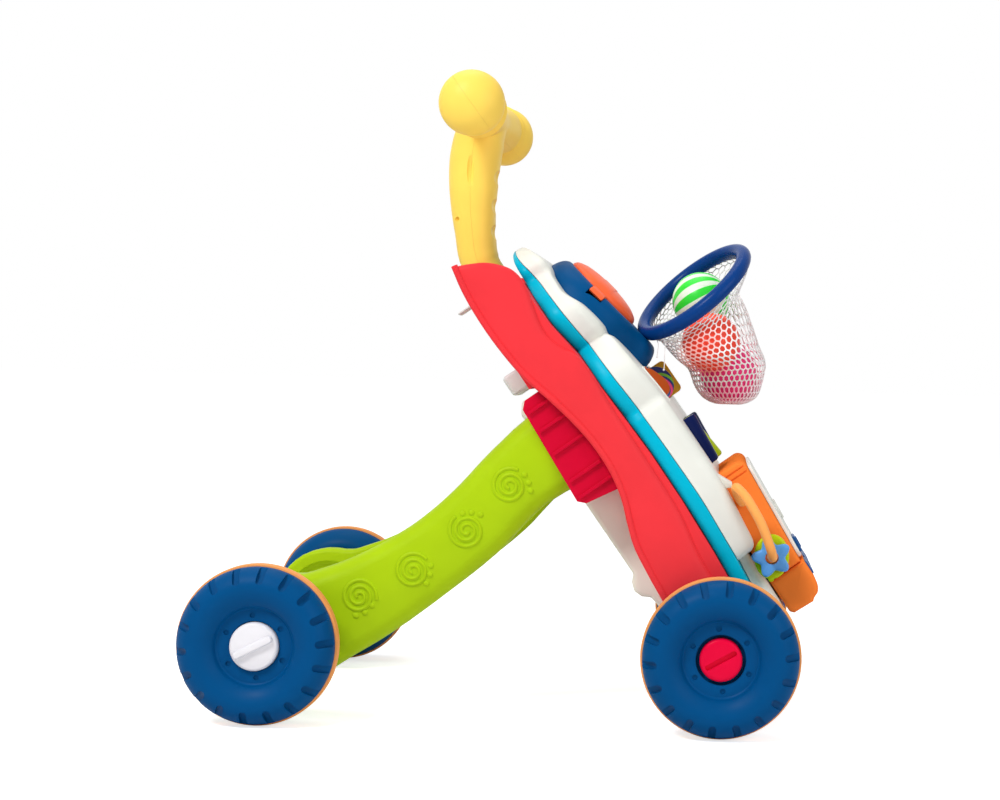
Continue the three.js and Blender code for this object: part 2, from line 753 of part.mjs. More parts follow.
function panelLoft(sectionAt, heights) {
  const rings = heights.map((v) => {
    const half = sectionAt(v);
    const left = half.map(([u, y]) => new THREE.Vector3(u, y, v));
    const right = [...half].reverse().map(([u, y]) => new THREE.Vector3(u, -y, v));
    return [...left, ...right];
  });
  return loft(rings, fan(rings[0].length));
}

function rimShell() {
  return panelLoft((v) => {
    const { back, seam, rimHalf } = panelAt(v);
    const step = (seam - back) * panel.rimBendShare;
    return [[back, rimHalf - step], [back + step, rimHalf], [seam - seat, rimHalf]];
  }, stationHeights);
}

function faceShell() {
  return panelLoft((v) => {
    const { seam, face, half } = panelAt(v);
    const edge = Math.min(panel.edge, (face - seam) * panel.edgeShare);
    const [out, inward] = panel.edgeBendShares;
    return [
      [seam, half], [face - edge, half - panel.sideStep], [face - edge * out, half - edge * inward], [face, half - edge],
    ];
  }, stationHeights);
}

// The red frame runs behind the panel and steps back above the rear cover to carry the handle
function frameSolid() {
  const half = cheek.outerFace - cheek.thickness - seat;
  const crown = frame.crownShares.map(([u, v]) => [u * cheek.depth, v * cheek.height]);
  const front = [frame.low, ...stationHeights.filter((v) => v > frame.low + overrun && v < crown[0][1] - overrun)]
    .map((v) => [panelAt(v).back - seat, v]);
  const rear = [[frame.upperRear, frame.shelf], [frame.rear, frame.shelf], [frame.rear, frame.low]];
  const outline = [...front, ...crown, ...rear].map(([u, v]) => new THREE.Vector2(u, v));
  return sideSlab(outline, [[-half, 0], [half, 0]]);
}

const frameTop = Math.max(...frame.crownShares.map(([, v]) => v)) * cheek.height;
const tabPlace = frameTop - tab.underTop;

const tenonTop = frameTop - overrun;
const handleBase = fromLeaned(handle.tenonU, 0, frameTop);

// A place on the handle, back and up from the top of its socket
const onHandle = (back, up) => toLeaned(handleBase.x - back, 0, handleBase.z + up);

function stemSections(grow) {
  const first = handle.stemShares.map(([back, up, depth, width]) => ({
    centre: onHandle(handle.bow * back, handle.rise * up),
    depth: handle.stemHalfDepth * depth,
    width: handle.stemHalfWidth * width,
  }));
  const last = first[first.length - 1];
  const tenon = [0, handle.tenonDepth + grow].map((down) => ({
    centre: new THREE.Vector3(handle.tenonU, 0, tenonTop - down),
    depth: last.depth * handle.tenonShare,
    width: last.width * handle.tenonShare,
  }));
  return [...first, ...tenon];
}

// Round sections across the stem's line, grown by a clearance when they cut a socket
function stemSolid(grow = 0) {
  const sections = stemSections(grow);
  const rings = sections.map(({ centre, depth, width }, i) => {
    const before = sections[Math.max(i - 1, 0)].centre;
    const after = sections[Math.min(i + 1, sections.length - 1)].centre;
    const along = before.clone().sub(after).normalize();
    const across = new THREE.Vector3().crossVectors(axisY, along).normalize();
    return Array.from({ length: handle.stemSides }, (_, k) => {
      const angle = (2 * Math.PI * k) / handle.stemSides;
      return centre.clone()
        .addScaledVector(across, (depth + grow) * Math.cos(angle))
        .addScaledVector(axisY, (width + grow) * Math.sin(angle));
    });
  });
  return loft(rings, fan(handle.stemSides));
}

const barPlace = onHandle(handle.barBack, handle.rise);

// The crossbar swells to ribbed grips that end in round knobs
function barSolid() {
  const half = [[handle.neckRadius, handle.neckSpread]];
  const ribs = handle.spread - handle.knobHalfWidth;
  for (let i = handle.ribCount; i > 0; i -= 1) {
    half.push([handle.gripRadius, ribs - handle.ribPitch * i]);
    half.push([handle.gripRadius + handle.ribHeight, ribs - handle.ribPitch * i + handle.ribPitch / 2]);
  }
  half.push([handle.gripRadius, ribs]);
  handle.knobTurns.forEach((turn) => half.push([
    handle.knobRadius * Math.cos(turn * degree),
    handle.spread + handle.knobHalfWidth * Math.sin(turn * degree),
  ]));
  half.push([0, handle.spread + handle.knobHalfWidth]);
  const lower = half.map(([radius, height]) => [radius, -height]).reverse();
  const bar = turned([...lower, ...half], handle.barSides, Math.PI / handle.barSides);
  return bar.translate(barPlace.x, barPlace.y, barPlace.z);
}

// Everything in front of the handle's seam, which slants across the grips and runs down the stem's middle
function seamBlocks(gap) {
  const far = handle.spread + handle.rise;
  const bar = new THREE.Vector2(handleBase.x - handle.barBack, handleBase.z + handle.rise);
  const shift = new THREE.Vector2(gap, 0);
  const slant = new THREE.Vector2(-Math.sin(handle.seamTurn), Math.cos(handle.seamTurn));
  const gripSeam = [bar.clone().addScaledVector(slant, far), bar.clone().addScaledVector(slant, -handle.seamReach)];
  const ends = gripSeam.map((point) => new THREE.Vector2(far, point.y));
  const grip = [...gripSeam.map((point) => point.add(shift)), ...ends.reverse()];
  const tenon = [tenonTop, tenonTop - far].map((v) => fromLeaned(handle.tenonU, 0, v));
  const middle = [
    new THREE.Vector2(bar.x, bar.y + far), bar,
    ...handle.stemShares.slice(2).map(([back, up]) => new THREE.Vector2(
      handleBase.x - handle.bow * back,
      handleBase.z + handle.rise * up,
    )),
    ...tenon.map((point) => new THREE.Vector2(point.x, point.z)),
  ].map((point) => point.clone().add(shift));
  const stem = [...middle, new THREE.Vector2(far, tenon[1].z), new THREE.Vector2(far, bar.y + far)];
  const lap = seat - gap;
  const inner = handle.neckSpread - lap;
  const outer = handle.spread + far;
  return [
    sideSlab(stem, [[-handle.neckSpread - lap, 0], [handle.neckSpread + lap, 0]]),
    sideSlab(grip, [[inner, 0], [outer, 0]]),
    sideSlab(grip, [[-outer, 0], [-inner, 0]]),
  ].map((geometry) => geometry.applyMatrix4(unleanedMatrix));
}

// How far back the stem's centre lies at a height, and its half depth there
function stemAt(share) {
  const rows = handle.stemShares;
  const next = rows.findIndex((row) => row[1] <= share);
  const [above, below] = [rows[next - 1], rows[next]];
  const mix = (above[1] - share) / (above[1] - below[1]);
  const [back, , depth] = above.map((value, i) => value + (below[i] - value) * mix);
  return { back: back * handle.bow, depth: depth * handle.stemHalfDepth };
}

function handleWhole() {
  const dents = handle.dentShares.map((share) => {
    const dent = new THREE.SphereGeometry(handle.dentLength, handle.dentSides, handle.dentRows);
    dent.scale(handle.dentDepth / handle.dentLength, handle.dentHalfWidth / handle.dentLength, 1);
    const { back, depth } = stemAt(share);
    const place = onHandle(back - depth - handle.dentOut, handle.rise * share);
    return dent.rotateY(stance.lean).translate(...place.toArray());
  });
  const screw = onHandle(stemAt(handle.screwShare).back + handle.screwBack, handle.rise * handle.screwShare);
  const floor = handle.stemHalfWidth - handle.screwDepth;
  const outside = handle.stemHalfWidth + handle.screwDepth;
  const holes = [[floor, outside], [-outside, -floor]].map(([from, to]) => (
    barAlongY(handle.screwRadius, from, to, handle.screwSides).translate(screw.x, 0, screw.z)
  ));
  return cut(join(stemSolid(), [barSolid()]), [...dents, ...holes]);
}

function addBody() {
  const right = cheekPlate();
  leaned.add(piece('side_cheek_right', right, 'red', 0.45));
  leaned.add(piece('side_cheek_left', mirrored(right), 'red', 0.45));

  const latchPocket = block(
    new THREE.Vector3(frame.upperRear - overrun, -latch.halfWidth - running, latch.low - running),
    new THREE.Vector3(frame.upperRear + latch.depthIn + latch.travel + running, latch.halfWidth + running,
      latch.high + running),
  );
  const tabSlot = block(
    new THREE.Vector3(frame.upperRear - overrun, -tab.halfWidth - seat, tabPlace - tab.thickness / 2 - seat),
    new THREE.Vector3(frame.upperRear + tab.sink + seat, tab.halfWidth + seat, tabPlace + tab.thickness / 2 + seat),
  );
  leaned.add(piece('body_frame', cut(frameSolid(), [stemSolid(seat), latchPocket, tabSlot]), 'red', 0.45));

  const coverLevels = roundedLevels(-cover.halfWidth, cover.halfWidth, cover.edge, cover.edge, 2);
  const coverPoints = cover.outlineShares.map(([back, up]) => new THREE.Vector2(
    frame.rear - seat + back * (cover.rear - frame.rear + seat),
    cover.low + up * (cover.high - cover.low),
  ));
  leaned.add(piece('rear_cover', sideSlab(coverPoints, coverLevels), 'beige', 0.5));

  const latchPoints = roundedRectangle(0, (latch.low + latch.high) / 2, latch.halfWidth,
    (latch.high - latch.low) / 2, latch.edge, 1);
  const latchBlock = frontSlab(latchPoints, roundedLevels(latch.rear, frame.upperRear + latch.depthIn, 0, latch.edge, 1));
  leaned.add(piece('latch_button', latchBlock, 'grey', 0.4));

  const tabPoints = roundedRectangle((tab.rear + frame.upperRear + tab.sink) / 2, 0,
    (frame.upperRear + tab.sink - tab.rear) / 2, tab.halfWidth, tab.thickness);
  const tabLevels = [[tabPlace - tab.thickness / 2, 0], [tabPlace + tab.thickness / 2, 0]];
  leaned.add(piece('hanging_tab', slab(tabPoints, tabLevels), 'grey', 0.4));

  const whole = handleWhole();
  const [middle, ...grips] = seamBlocks(seat / 2);
  const front = solidOf(whole).intersect(solidOf(join(middle, grips)));
  leaned.add(piece('handle_front_half', geometryOf(front), 'yellow', 0.38));
  leaned.add(piece('handle_rear_half', cut(whole, seamBlocks(-seat / 2)), 'yellow', 0.38));
}

const legOuter = collar.outerFace - collar.wall - seat;
const legInner = legOuter - leg.thickness;
const legReach = -rearAxle.x;

function legOutline() {
  const place = ([back, up]) => [-legReach * back, rearAxle.z + up * leg.depth];
  const lobe = [];
  for (let i = 0; i <= leg.lobeSteps; i += 1) {
    const angle = leg.lobeStart + (leg.lobeSweep * i) / leg.lobeSteps;
    lobe.push([rearAxle.x + leg.lobeRadius * Math.cos(angle), rearAxle.z + leg.lobeRadius * Math.sin(angle)]);
  }
  const end = frame.rear - collar.wall - leg.tenon;
  const upper = leg.upperShares.map(place).reverse();
  const lower = leg.lowerShares.map(place).reverse();
  const lift = upper[0][1];
  const fall = lower[lower.length - 1][1];
  return [[end, lift], ...upper, ...lobe, ...lower, [end, fall]].map(([x, y]) => new THREE.Vector2(x, y));
}

// A leg is two half shells; the inner one is dished round the axle
function legHalves() {
  const seam = legInner + leg.thickness * leg.seamShare;
  const outline = legOutline();
  const boss = sealed(barAlongY(leg.bossRadius, -bossReach, -legOuter + overrun, bossSides));
  const atAxle = (geometry) => geometry.translate(rearAxle.x, 0, rearAxle.z);
  const bore = () => atAxle(barAlongY(axleBore, -bossReach - overrun, -legInner + overrun, axle.sides));
  const outer = sideSlab(outline, roundedLevels(seam + seat / 2, legOuter, leg.edge, 0, 2));
  const inner = sideSlab(outline, roundedLevels(legInner, seam - seat / 2, 0, leg.edge / 2, 1));
  const floor = -legInner - leg.dishDepth;
  const dish = atAxle(turned([
    [leg.dishBossRadius, floor], [leg.dishRadius - leg.dishDepth, floor], [leg.dishRadius, overrun - legInner],
    [leg.dishBossRadius, overrun - legInner], [leg.dishBossRadius, floor],
  ], leg.dishSides));
  return {
    outer: cut(join(outer, [atAxle(boss)]), [bore()]),
    inner: cut(inner, [dish, bore()]),
  };
}

// Ribbed socket that a leg plugs into
function legCollar() {
  const height = collar.top - collar.bottom;
  const outline = [
    [collar.front, collar.bottom], [collar.front, collar.top], [collar.rearTop + collar.corner, collar.top],
    [collar.rearTop, collar.top - collar.corner], [collar.rearBottom, collar.bottom + collar.lowCorner],
    [collar.rearBottom + collar.corner, collar.bottom + collar.corner],
  ].map(([x, y]) => new THREE.Vector2(x, y));
  const inner = legInner - seat - collar.wall;
  const body = sideSlab(outline, [[inner, 0], [collar.outerFace, 0]]);
  const ribs = collar.ribShares.map((share) => {
    const v = collar.top - share * height;
    const rear = collar.rearTop + share * (collar.rearBottom - collar.rearTop) + collar.corner / 2;
    return block(
      new THREE.Vector3(rear, -collar.outerFace - collar.ribHeight, v - collar.ribWidth / 2),
      new THREE.Vector3(collar.front - overrun, overrun - collar.outerFace, v + collar.ribWidth / 2),
    );
  });
  const socket = sideSlab(insetOutline(anticlockwise(legOutline()), -seat), [[legInner - seat, 0], [legOuter + seat, 0]]);
  return cut(join(body, ribs), [socket]);
}

function addLegs() {
  const { outer, inner } = legHalves();
  const socket = legCollar();
  leaned.add(piece('leg_outer_right', outer, 'lime', 0.42), piece('leg_outer_left', mirrored(outer), 'lime', 0.42));
  leaned.add(piece('leg_inner_right', inner, 'lime', 0.42), piece('leg_inner_left', mirrored(inner), 'lime', 0.42));
  leaned.add(piece('leg_collar_right', socket, 'collarRed', 0.4));
  leaned.add(piece('leg_collar_left', mirrored(socket), 'collarRed', 0.4));
}

// Dome housing frame: n stands out of the tilted seat and w runs up it
const housingMatrix = new THREE.Matrix4().makeRotationY(-housing.tilt).setPosition(housing.u, 0, housing.v);

function housingBody(grow) {
  const half = housing.outlineShares.map(([side, up]) => [side * housing.halfWidth, up * housing.halfHeight]);
  const left = half.slice(1, -1).reverse().map(([side, up]) => [-side, up]);
  const outline = [...half, ...left].map(([side, up]) => new THREE.Vector2(side, up));
  const grown = insetOutline(anticlockwise(outline), -grow);
  const rings = housing.ringShares.map(([height, side, up]) => grown.map((point) => new THREE.Vector3(
    height * (housing.height + grow) - (height > 0 ? 0 : grow),
    point.x * side,
    point.y * up,
  )));
  return loft(rings, fan(grown.length)).applyMatrix4(housingMatrix);
}

function tabOutline(grow) {
  const top = button.tabShares.map(([out, height]) => [out * button.tabReach, height * housing.height]);
  const under = [...top].reverse().map(([out, height]) => [out, height - button.tabThickness]);
  const raised = grow > 0 ? top.map(([out, height]) => [out, height + housing.height]) : top;
  const sunk = grow > 0 ? under.map(([out, height]) => [out, height - button.travel - grow]) : under;
  return [...raised, ...sunk].map(([out, height]) => new THREE.Vector2(out + (out > button.radius + grow ? grow : 0), height));
}

// Tabs on both sides of the dome lie in slots of the housing
function buttonTabs(grow) {
  const half = button.tabWidth / 2 + grow;
  const shape = slab(tabOutline(grow), [[-half, 0], [half, 0]]);
  const toLeft = new THREE.Matrix4().makeBasis(axisY, axisX, axisZ.clone().negate());
  const left = shape.clone().applyMatrix4(toLeft).translate(0, 0, button.offset);
  return [left, mirrored(left)];
}

function standing(profile, sides) {
  return turned(profile, sides).rotateZ(-quarter);
}

function domeHousing() {
  const floor = housing.height - housing.well;
  const well = standing([
    [0, floor - button.stemLength], [button.stemRadius + running, floor - button.stemLength],
    [button.stemRadius + running, floor], [button.radius + running, floor],
    [button.radius + running, housing.height + button.height], [0, housing.height + button.height],
  ], button.sides).translate(0, 0, button.offset);
  const inPlace = [well, ...buttonTabs(running)].map((geometry) => geometry.applyMatrix4(housingMatrix));
  const sweep = sealed(new THREE.SphereGeometry(hoopReach + running, hoop.sweepSides, hoop.sweepRows));
  const hole = alongHoop(hoop.pinRadius + running / 2, -hoopReach - hoop.pinLength - running, -hoop.radius);
  const round = [sweep, hole].map((geometry) => geometry.applyMatrix4(hoopMatrix));
  return cut(housingBody(0), [...inPlace, ...round, ...windowCutters(tileWindow, tile.centreU)]);
}

function domeButton() {
  const base = housing.height - button.skirt;
  const stemEnd = base - button.stemLength + button.travel;
  const dome = button.domeShares.map(([radius, height]) => [
    radius * button.radius,
    height > 0 ? housing.height + height * button.height : base,
  ]);
  const profile = [[0, stemEnd], [button.stemRadius, stemEnd], [button.stemRadius, base], ...dome];
  const body = standing(profile, button.sides).translate(0, 0, button.offset);
  return join(body, buttonTabs(0)).applyMatrix4(housingMatrix);
}

// Hoop frame: x runs along the pin that the hoop swivels on
const hoopReach = hoop.radius + hoop.tube;
const hoopU = housing.u + hoop.ahead;
const hoopV = housing.v - hoop.below;
const hoopMatrix = new THREE.Matrix4().makeRotationY(-hoop.pitch).setPosition(hoopU, 0, hoopV);

function alongHoop(radius, from, to) {
  const bar = new THREE.CylinderGeometry(radius, radius, to - from, hoop.pinSides).rotateZ(-quarter);
  return sealed(bar.translate((from + to) / 2, 0, 0));
}

function hoopRing() {
  const ring = new THREE.TorusGeometry(hoop.radius, hoop.tube, hoop.tubeSides, hoop.segments);
  return join(ring, [alongHoop(hoop.pinRadius, -hoopReach - hoop.pinLength, -hoop.radius)]);
}

const hoopCentre = fromLeaned(hoopU, 0, hoopV);
const hoopTurn = new THREE.Matrix4().makeRotationY(-stance.lean - hoop.pitch)
  .multiply(new THREE.Matrix4().makeRotationX(hoop.turn));
const hoopDirection = (vector) => vector.clone().applyMatrix4(hoopTurn);

// The net hangs from under the ring and leans forward as it narrows
function netRings(grow) {
  const forward = hoopDirection(axisX);
  const sideways = hoopDirection(axisY);
  const down = hoopDirection(axisZ).negate();
  const ring = (centre, long, longHalf, wide, wideHalf) => Array.from({ length: net.sides }, (_, i) => {
    const angle = (2 * Math.PI * i) / net.sides;
    return centre.clone()
      .addScaledVector(long, (longHalf + grow) * Math.cos(angle))
      .addScaledVector(wide, (wideHalf + grow) * Math.sin(angle));
  });
  const rim = hoop.radius + net.wall / 2;
  const mouth = ring(down.clone().multiplyScalar(hoop.tube + seat), forward, rim, sideways, rim);
  const rest = net.sectionShares.map(([ahead, left, drop, long, wide, lean]) => {
    const centre = new THREE.Vector3(ahead * net.reach, left * net.reach, -drop * net.drop);
    const lay = new THREE.Vector3(1, 0, 0).applyAxisAngle(axisY, -stance.lean * lean);
    const across = sideways.clone().lerp(axisY, 1 - lean).normalize();
    return ring(centre, lay, long * net.reach, across, wide * net.reach);
  });
  return [mouth, ...rest];
}

function netBag() {
  const outer = netRings(0);
  const inner = netRings(-net.wall);
  inner[inner.length - 1].forEach((point) => { point.z += net.wall; });
  const rings = [...outer.reverse(), ...inner];
  return loft(rings, fan(net.sides));
}

function addHoop() {
  leaned.add(piece('dome_housing', domeHousing(), 'navy', 0.3));
  leaned.add(piece('dome_button', domeButton(), 'coral', 0.35));
  const hoopGroup = new THREE.Group();
  hoopGroup.position.set(hoopU, 0, hoopV);
  hoopGroup.rotation.set(hoop.turn, -hoop.pitch, 0, 'YXZ');
  hoopGroup.add(piece('hoop_ring', hoopRing(), 'hoopNavy', 0.25));
  leaned.add(hoopGroup);

  const hanging = new THREE.Group();
  hanging.position.copy(hoopCentre);
  hanging.add(piece('ball_net', netBag(), 'thread', 0.8));
  [['green', 'green'], ['orange', 'ballOrange'], ['pink', 'pink']].forEach(([name, colour]) => {
    const sphere = piece(`ball_${name}`, sealed(new THREE.SphereGeometry(ball.radius, ball.around, ball.rows)), colour, 0.35);
    sphere.position.set(...ball.placeShares[name].map((share) => share * ball.radius));
    hanging.add(sphere);
  });
  tail.angles.forEach((angle, i) => {
    const onRing = hoopDirection(new THREE.Vector3(hoop.radius * Math.cos(angle), hoop.radius * Math.sin(angle), 0));
    onRing.z -= hoop.tube + running;
    const length = tail.lengths[i];
    const path = tail.pathShares.map((share) => onRing.clone()
      .add(new THREE.Vector3(tail.lean * Math.sin(share * Math.PI), 0, -length * share)));
    const knot = sealed(new THREE.SphereGeometry(tail.knotRadius, tail.knotSides, tail.knotRows));
    knot.translate(...path[path.length - 1].toArray());
    hanging.add(piece(`drawstring_tail_${i + 1}`, join(tube(path, tail.radius, tail.sides, tail.steps), [knot]), 'thread', 0.7));
  });
  walker.add(hanging);
}

// Windows in the panel's face: the tiles and the rollers turn on pins between their ends
const windowHalf = tile.pitch + Math.max(tile.half, roller.wide) + window.reach;
const windowOf = (turner, halfLength, sweep) => ({
  low: turner.centreV - halfLength - running,
  high: turner.centreV + halfLength + running,
  floor: turner.centreU - sweep - window.wall,
});
const tileWindow = windowOf(tile, tile.half, tile.half + tile.thickness / 4);
const rollerWindow = windowOf(roller, roller.halfLength, roller.wide);

function windowCutters({ low, high, floor }, centreU) {
  const pocket = block(
    new THREE.Vector3(floor, -windowHalf, low),
    new THREE.Vector3(panel.standOff + panel.depth + housing.height, windowHalf, high),
  );
  const holes = [-1, 0, 1].map((i) => {
    const length = high - low + 2 * tile.pinLength + 2 * seat;
    const radius = tile.pinRadius + running / 2;
    const hole = new THREE.CylinderGeometry(radius, radius, length, tile.pinSides);
    return sealed(hole).rotateX(quarter).translate(centreU, i * tile.pitch, (low + high) / 2);
  });
  return [pocket, ...holes];
}

function windowLip({ low, high }) {
  const ends = [low - window.lipWidth, high + window.lipWidth];
  const raised = ends.map((v) => new THREE.Vector2(panelAt(v).face + window.lip, v));
  const sunk = ends.map((v) => new THREE.Vector2(panelAt(v).face - overrun, v));
  const half = windowHalf + window.lipWidth;
  return sideSlab([...raised, ...sunk.reverse()], roundedLevels(-half, half, window.lip / 2, window.lip / 2, 1));
}

function tileOutline(kind) {
  if (kind === 'square') return roundedRectangle(0, 0, tile.half, tile.half, tile.corner, 2);
  const lobeShare = kind === 'leaf' ? tile.leafShare : 0;
  return Array.from({ length: tile.sides }, (_, i) => {
    const angle = (2 * Math.PI * i) / tile.sides;
    const radius = tile.half * (1 - lobeShare * (1 - Math.cos(tile.leafLobes * angle)));
    return new THREE.Vector2(radius * Math.cos(angle + quarter), radius * Math.sin(angle + quarter));
  });
}

function pinAlongV(halfLength) {
  const reach = halfLength + tile.pinLength;
  return sealed(barAlongY(tile.pinRadius, -reach, reach, tile.pinSides)).rotateX(quarter);
}

function addWindows() {
  [['leaf', 'tileBrown', -1], ['disc', 'tileDisc', 0], ['square', 'tileYellow', 1]].forEach(([kind, colour, place]) => {
    const plate = sideSlab(tileOutline(kind), [[-tile.thickness / 2, 0], [tile.thickness / 2, 0]]);
    const mesh = piece(`${kind}_tile`, join(plate, [pinAlongV(tile.half)]), colour, 0.35);
    mesh.position.set(tile.centreU, place * tile.pitch, tile.centreV);
    mesh.rotation.z = tile.turns[kind];
    leaned.add(mesh);
  });
  const ends = [['near', 'rollerNavy', -1, 1], ['middle', 'rollerLime', 0, -1], ['far', 'rollerNavy', 1, 1]];
  ends.forEach(([name, colour, place, way]) => {
    const { wide, narrow, halfLength, corner } = roller;
    const lower = -halfLength + corner;
    const upper = halfLength - corner;
    const drum = turned([
      [0, -halfLength], [narrow - corner, -halfLength], [narrow, lower], [wide, upper], [wide - corner, halfLength],
      [0, halfLength],
    ], roller.sides).rotateX(way * quarter);
    const mesh = piece(`roller_${name}`, join(drum, [pinAlongV(halfLength)]), colour, 0.3);
    mesh.position.set(roller.centreU, place * tile.pitch, roller.centreV);
    leaned.add(mesh);
  });
}

const unitSize = new THREE.Vector2(unit.front - unit.back, unit.high - unit.low);
const unitPoints = unit.sideShares.map(([ahead, up]) => new THREE.Vector2(
  unit.back + ahead * unitSize.x,
  unit.low + up * unitSize.y,
));

// Frame of the music unit's sloping front: x stands out of it and z runs up it
const slope = unitPoints[2].clone().sub(unitPoints[1]);
const slopeMatrix = new THREE.Matrix4().makeRotationY(Math.atan2(slope.x, slope.y))
  .setPosition(unitPoints[1].x, 0, unitPoints[1].y);

function unitBlock(grow) {
  const half = unit.halfWidth + grow;
  const levels = grow > 0 ? [[-half, 0], [half, 0]] : roundedLevels(-half, half, unit.edge, unit.edge, 2);
  return sideSlab(insetOutline(anticlockwise(unitPoints), -grow), levels);
}

function wedge() {
  const outline = panel.wedgeShares.map(([along, out]) => new THREE.Vector2(
    panel.standOff + out * panel.depth,
    panel.foot + along * panelLength,
  ));
  return sideSlab(outline, [[panel.wedgeReach - panel.wedgeWidth, 0], [panel.wedgeReach, 0]]);
}

function addPanel() {
  leaned.add(piece('panel_rim', rimShell(), 'teal', 0.32));
  const cutters = [
    ...windowCutters(tileWindow, tile.centreU), ...windowCutters(rollerWindow, roller.centreU),
    unitBlock(seat), housingBody(seat),
  ];
  leaned.add(piece('panel_shell', cut(join(faceShell(), [windowLip(tileWindow), wedge()]), cutters), 'white', 0.35));
}

// A plate or key on a front face: x is how far it stands out
function facePlate(halfLength, halfHeight, corner, back, front, edge) {
  return frontSlab(roundedRectangle(0, 0, halfLength, halfHeight, corner, 2), roundedLevels(back, front, edge, 0, 1));
}

// Music unit: box, white fascia, sliding switch and an end block with three keys
function addUnit() {
  const railHoles = [railEnds().top, railEnds().bottom].map((place) => barAlongY(rail.radius + seat,
    -unit.halfWidth - overrun, rail.sink + seat - unit.halfWidth, rail.holeSides).translate(place.x, 0, place.z));
  const grooves = unit.grooveShares.flatMap((share) => [1, -1].map((way) => {
    const v = unit.low + share * unitSize.y;
    const faces = [way * (unit.halfWidth - unit.grooveDepth), way * (unit.halfWidth + overrun)];
    return block(
      new THREE.Vector3(unit.back - overrun, Math.min(...faces), v - unit.grooveWidth / 2),
      new THREE.Vector3(unit.front + overrun, Math.max(...faces), v + unit.grooveWidth / 2),
    );
  }));
  const slotHalf = unit.sliderLength / 2 + unit.sliderTravel + running;
  const slot = block(
    new THREE.Vector3(-unit.keyDepth - running, unit.sliderPlace - slotHalf,
      unit.sliderUp - unit.sliderHeight / 2 - running),
    new THREE.Vector3(unit.keyDepth + overrun, unit.sliderPlace + slotHalf,
      unit.sliderUp + unit.sliderHeight / 2 + running),
  ).applyMatrix4(slopeMatrix);
  leaned.add(piece('music_box', cut(unitBlock(0), [slot, ...grooves, ...railHoles]), 'orange', 0.36));

  const sloping = new THREE.Group();
  sloping.applyMatrix4(slopeMatrix);
  leaned.add(sloping);
  const slider = piece('mode_slider', facePlate(unit.sliderLength / 2, unit.sliderHeight / 2, unit.edge / 2,
    -unit.keyDepth, unit.fasciaThickness + seat + unit.sliderProud, unit.fasciaEdge), 'keyBlue', 0.35);
  slider.position.set(0, unit.sliderPlace, unit.sliderUp);
  sloping.add(slider);

  const middle = (unit.fasciaLow + unit.fasciaHigh) / 2;
  const plate = facePlate(unit.halfWidth - unit.fasciaMargin, (unit.fasciaHigh - unit.fasciaLow) / 2, unit.fasciaCorner,
    seat, seat + unit.fasciaThickness, unit.fasciaEdge).translate(0, 0, middle);
  const boss = sealed(new THREE.CylinderGeometry(unit.fasciaBossRadius - unit.fasciaEdge, unit.fasciaBossRadius,
    unit.fasciaThickness + unit.fasciaBossHeight, unit.fasciaBossSides)).rotateZ(-quarter);
  boss.translate(seat + (unit.fasciaThickness + unit.fasciaBossHeight) / 2, 0, unit.fasciaBossUp);
  const opening = slot.clone().applyMatrix4(slopeMatrix.clone().invert());
  sloping.add(piece('music_fascia', cut(join(plate, [boss]), [opening]), 'white', 0.35));

  const endTop = unit.low - seat;
  const endPoints = unit.endShares.map(([ahead, up]) => new THREE.Vector2(
    unit.endBack + ahead * (unit.endFront - unit.endBack),
    unit.endBottom + up * (endTop - unit.endBottom),
  ));
  const keyPlaces = Array.from({ length: unit.keyCount }, (_, i) => (i - (unit.keyCount - 1) / 2) * unit.keyPitch);
  const wells = keyPlaces.map((y) => block(
    new THREE.Vector3(unit.endFront - unit.keyDepth - unit.keyTravel - running, y - unit.keyLength / 2 - running,
      unit.keyV - unit.keyHeight / 2 - running),
    new THREE.Vector3(unit.endFront + overrun, y + unit.keyLength / 2 + running,
      unit.keyV + unit.keyHeight / 2 + running),
  ));
  const levels = roundedLevels(-unit.halfWidth, unit.halfWidth, unit.edge, unit.edge, 2);
  leaned.add(piece('end_block', cut(sideSlab(endPoints, levels), wells), 'orange', 0.36));
  keyPlaces.forEach((y, i) => {
    const shape = facePlate(unit.keyLength / 2, unit.keyHeight / 2, unit.edge / 2, -unit.keyDepth, unit.keyProud,
      unit.fasciaEdge / 2);
    const key = piece(`melody_key_${i + 1}`, shape, 'keyBlue', 0.35);
    key.position.set(unit.endFront, y, unit.keyV);
    leaned.add(key);
  });
}

function railEnds() {
  const first = rail.pathShares[0];
  const last = rail.pathShares[rail.pathShares.length - 1];
  const place = ([u, v]) => new THREE.Vector3(u * rail.centreU, 0, rail.low + v * (rail.high - rail.low));
  return { top: place(first), bottom: place(last) };
}

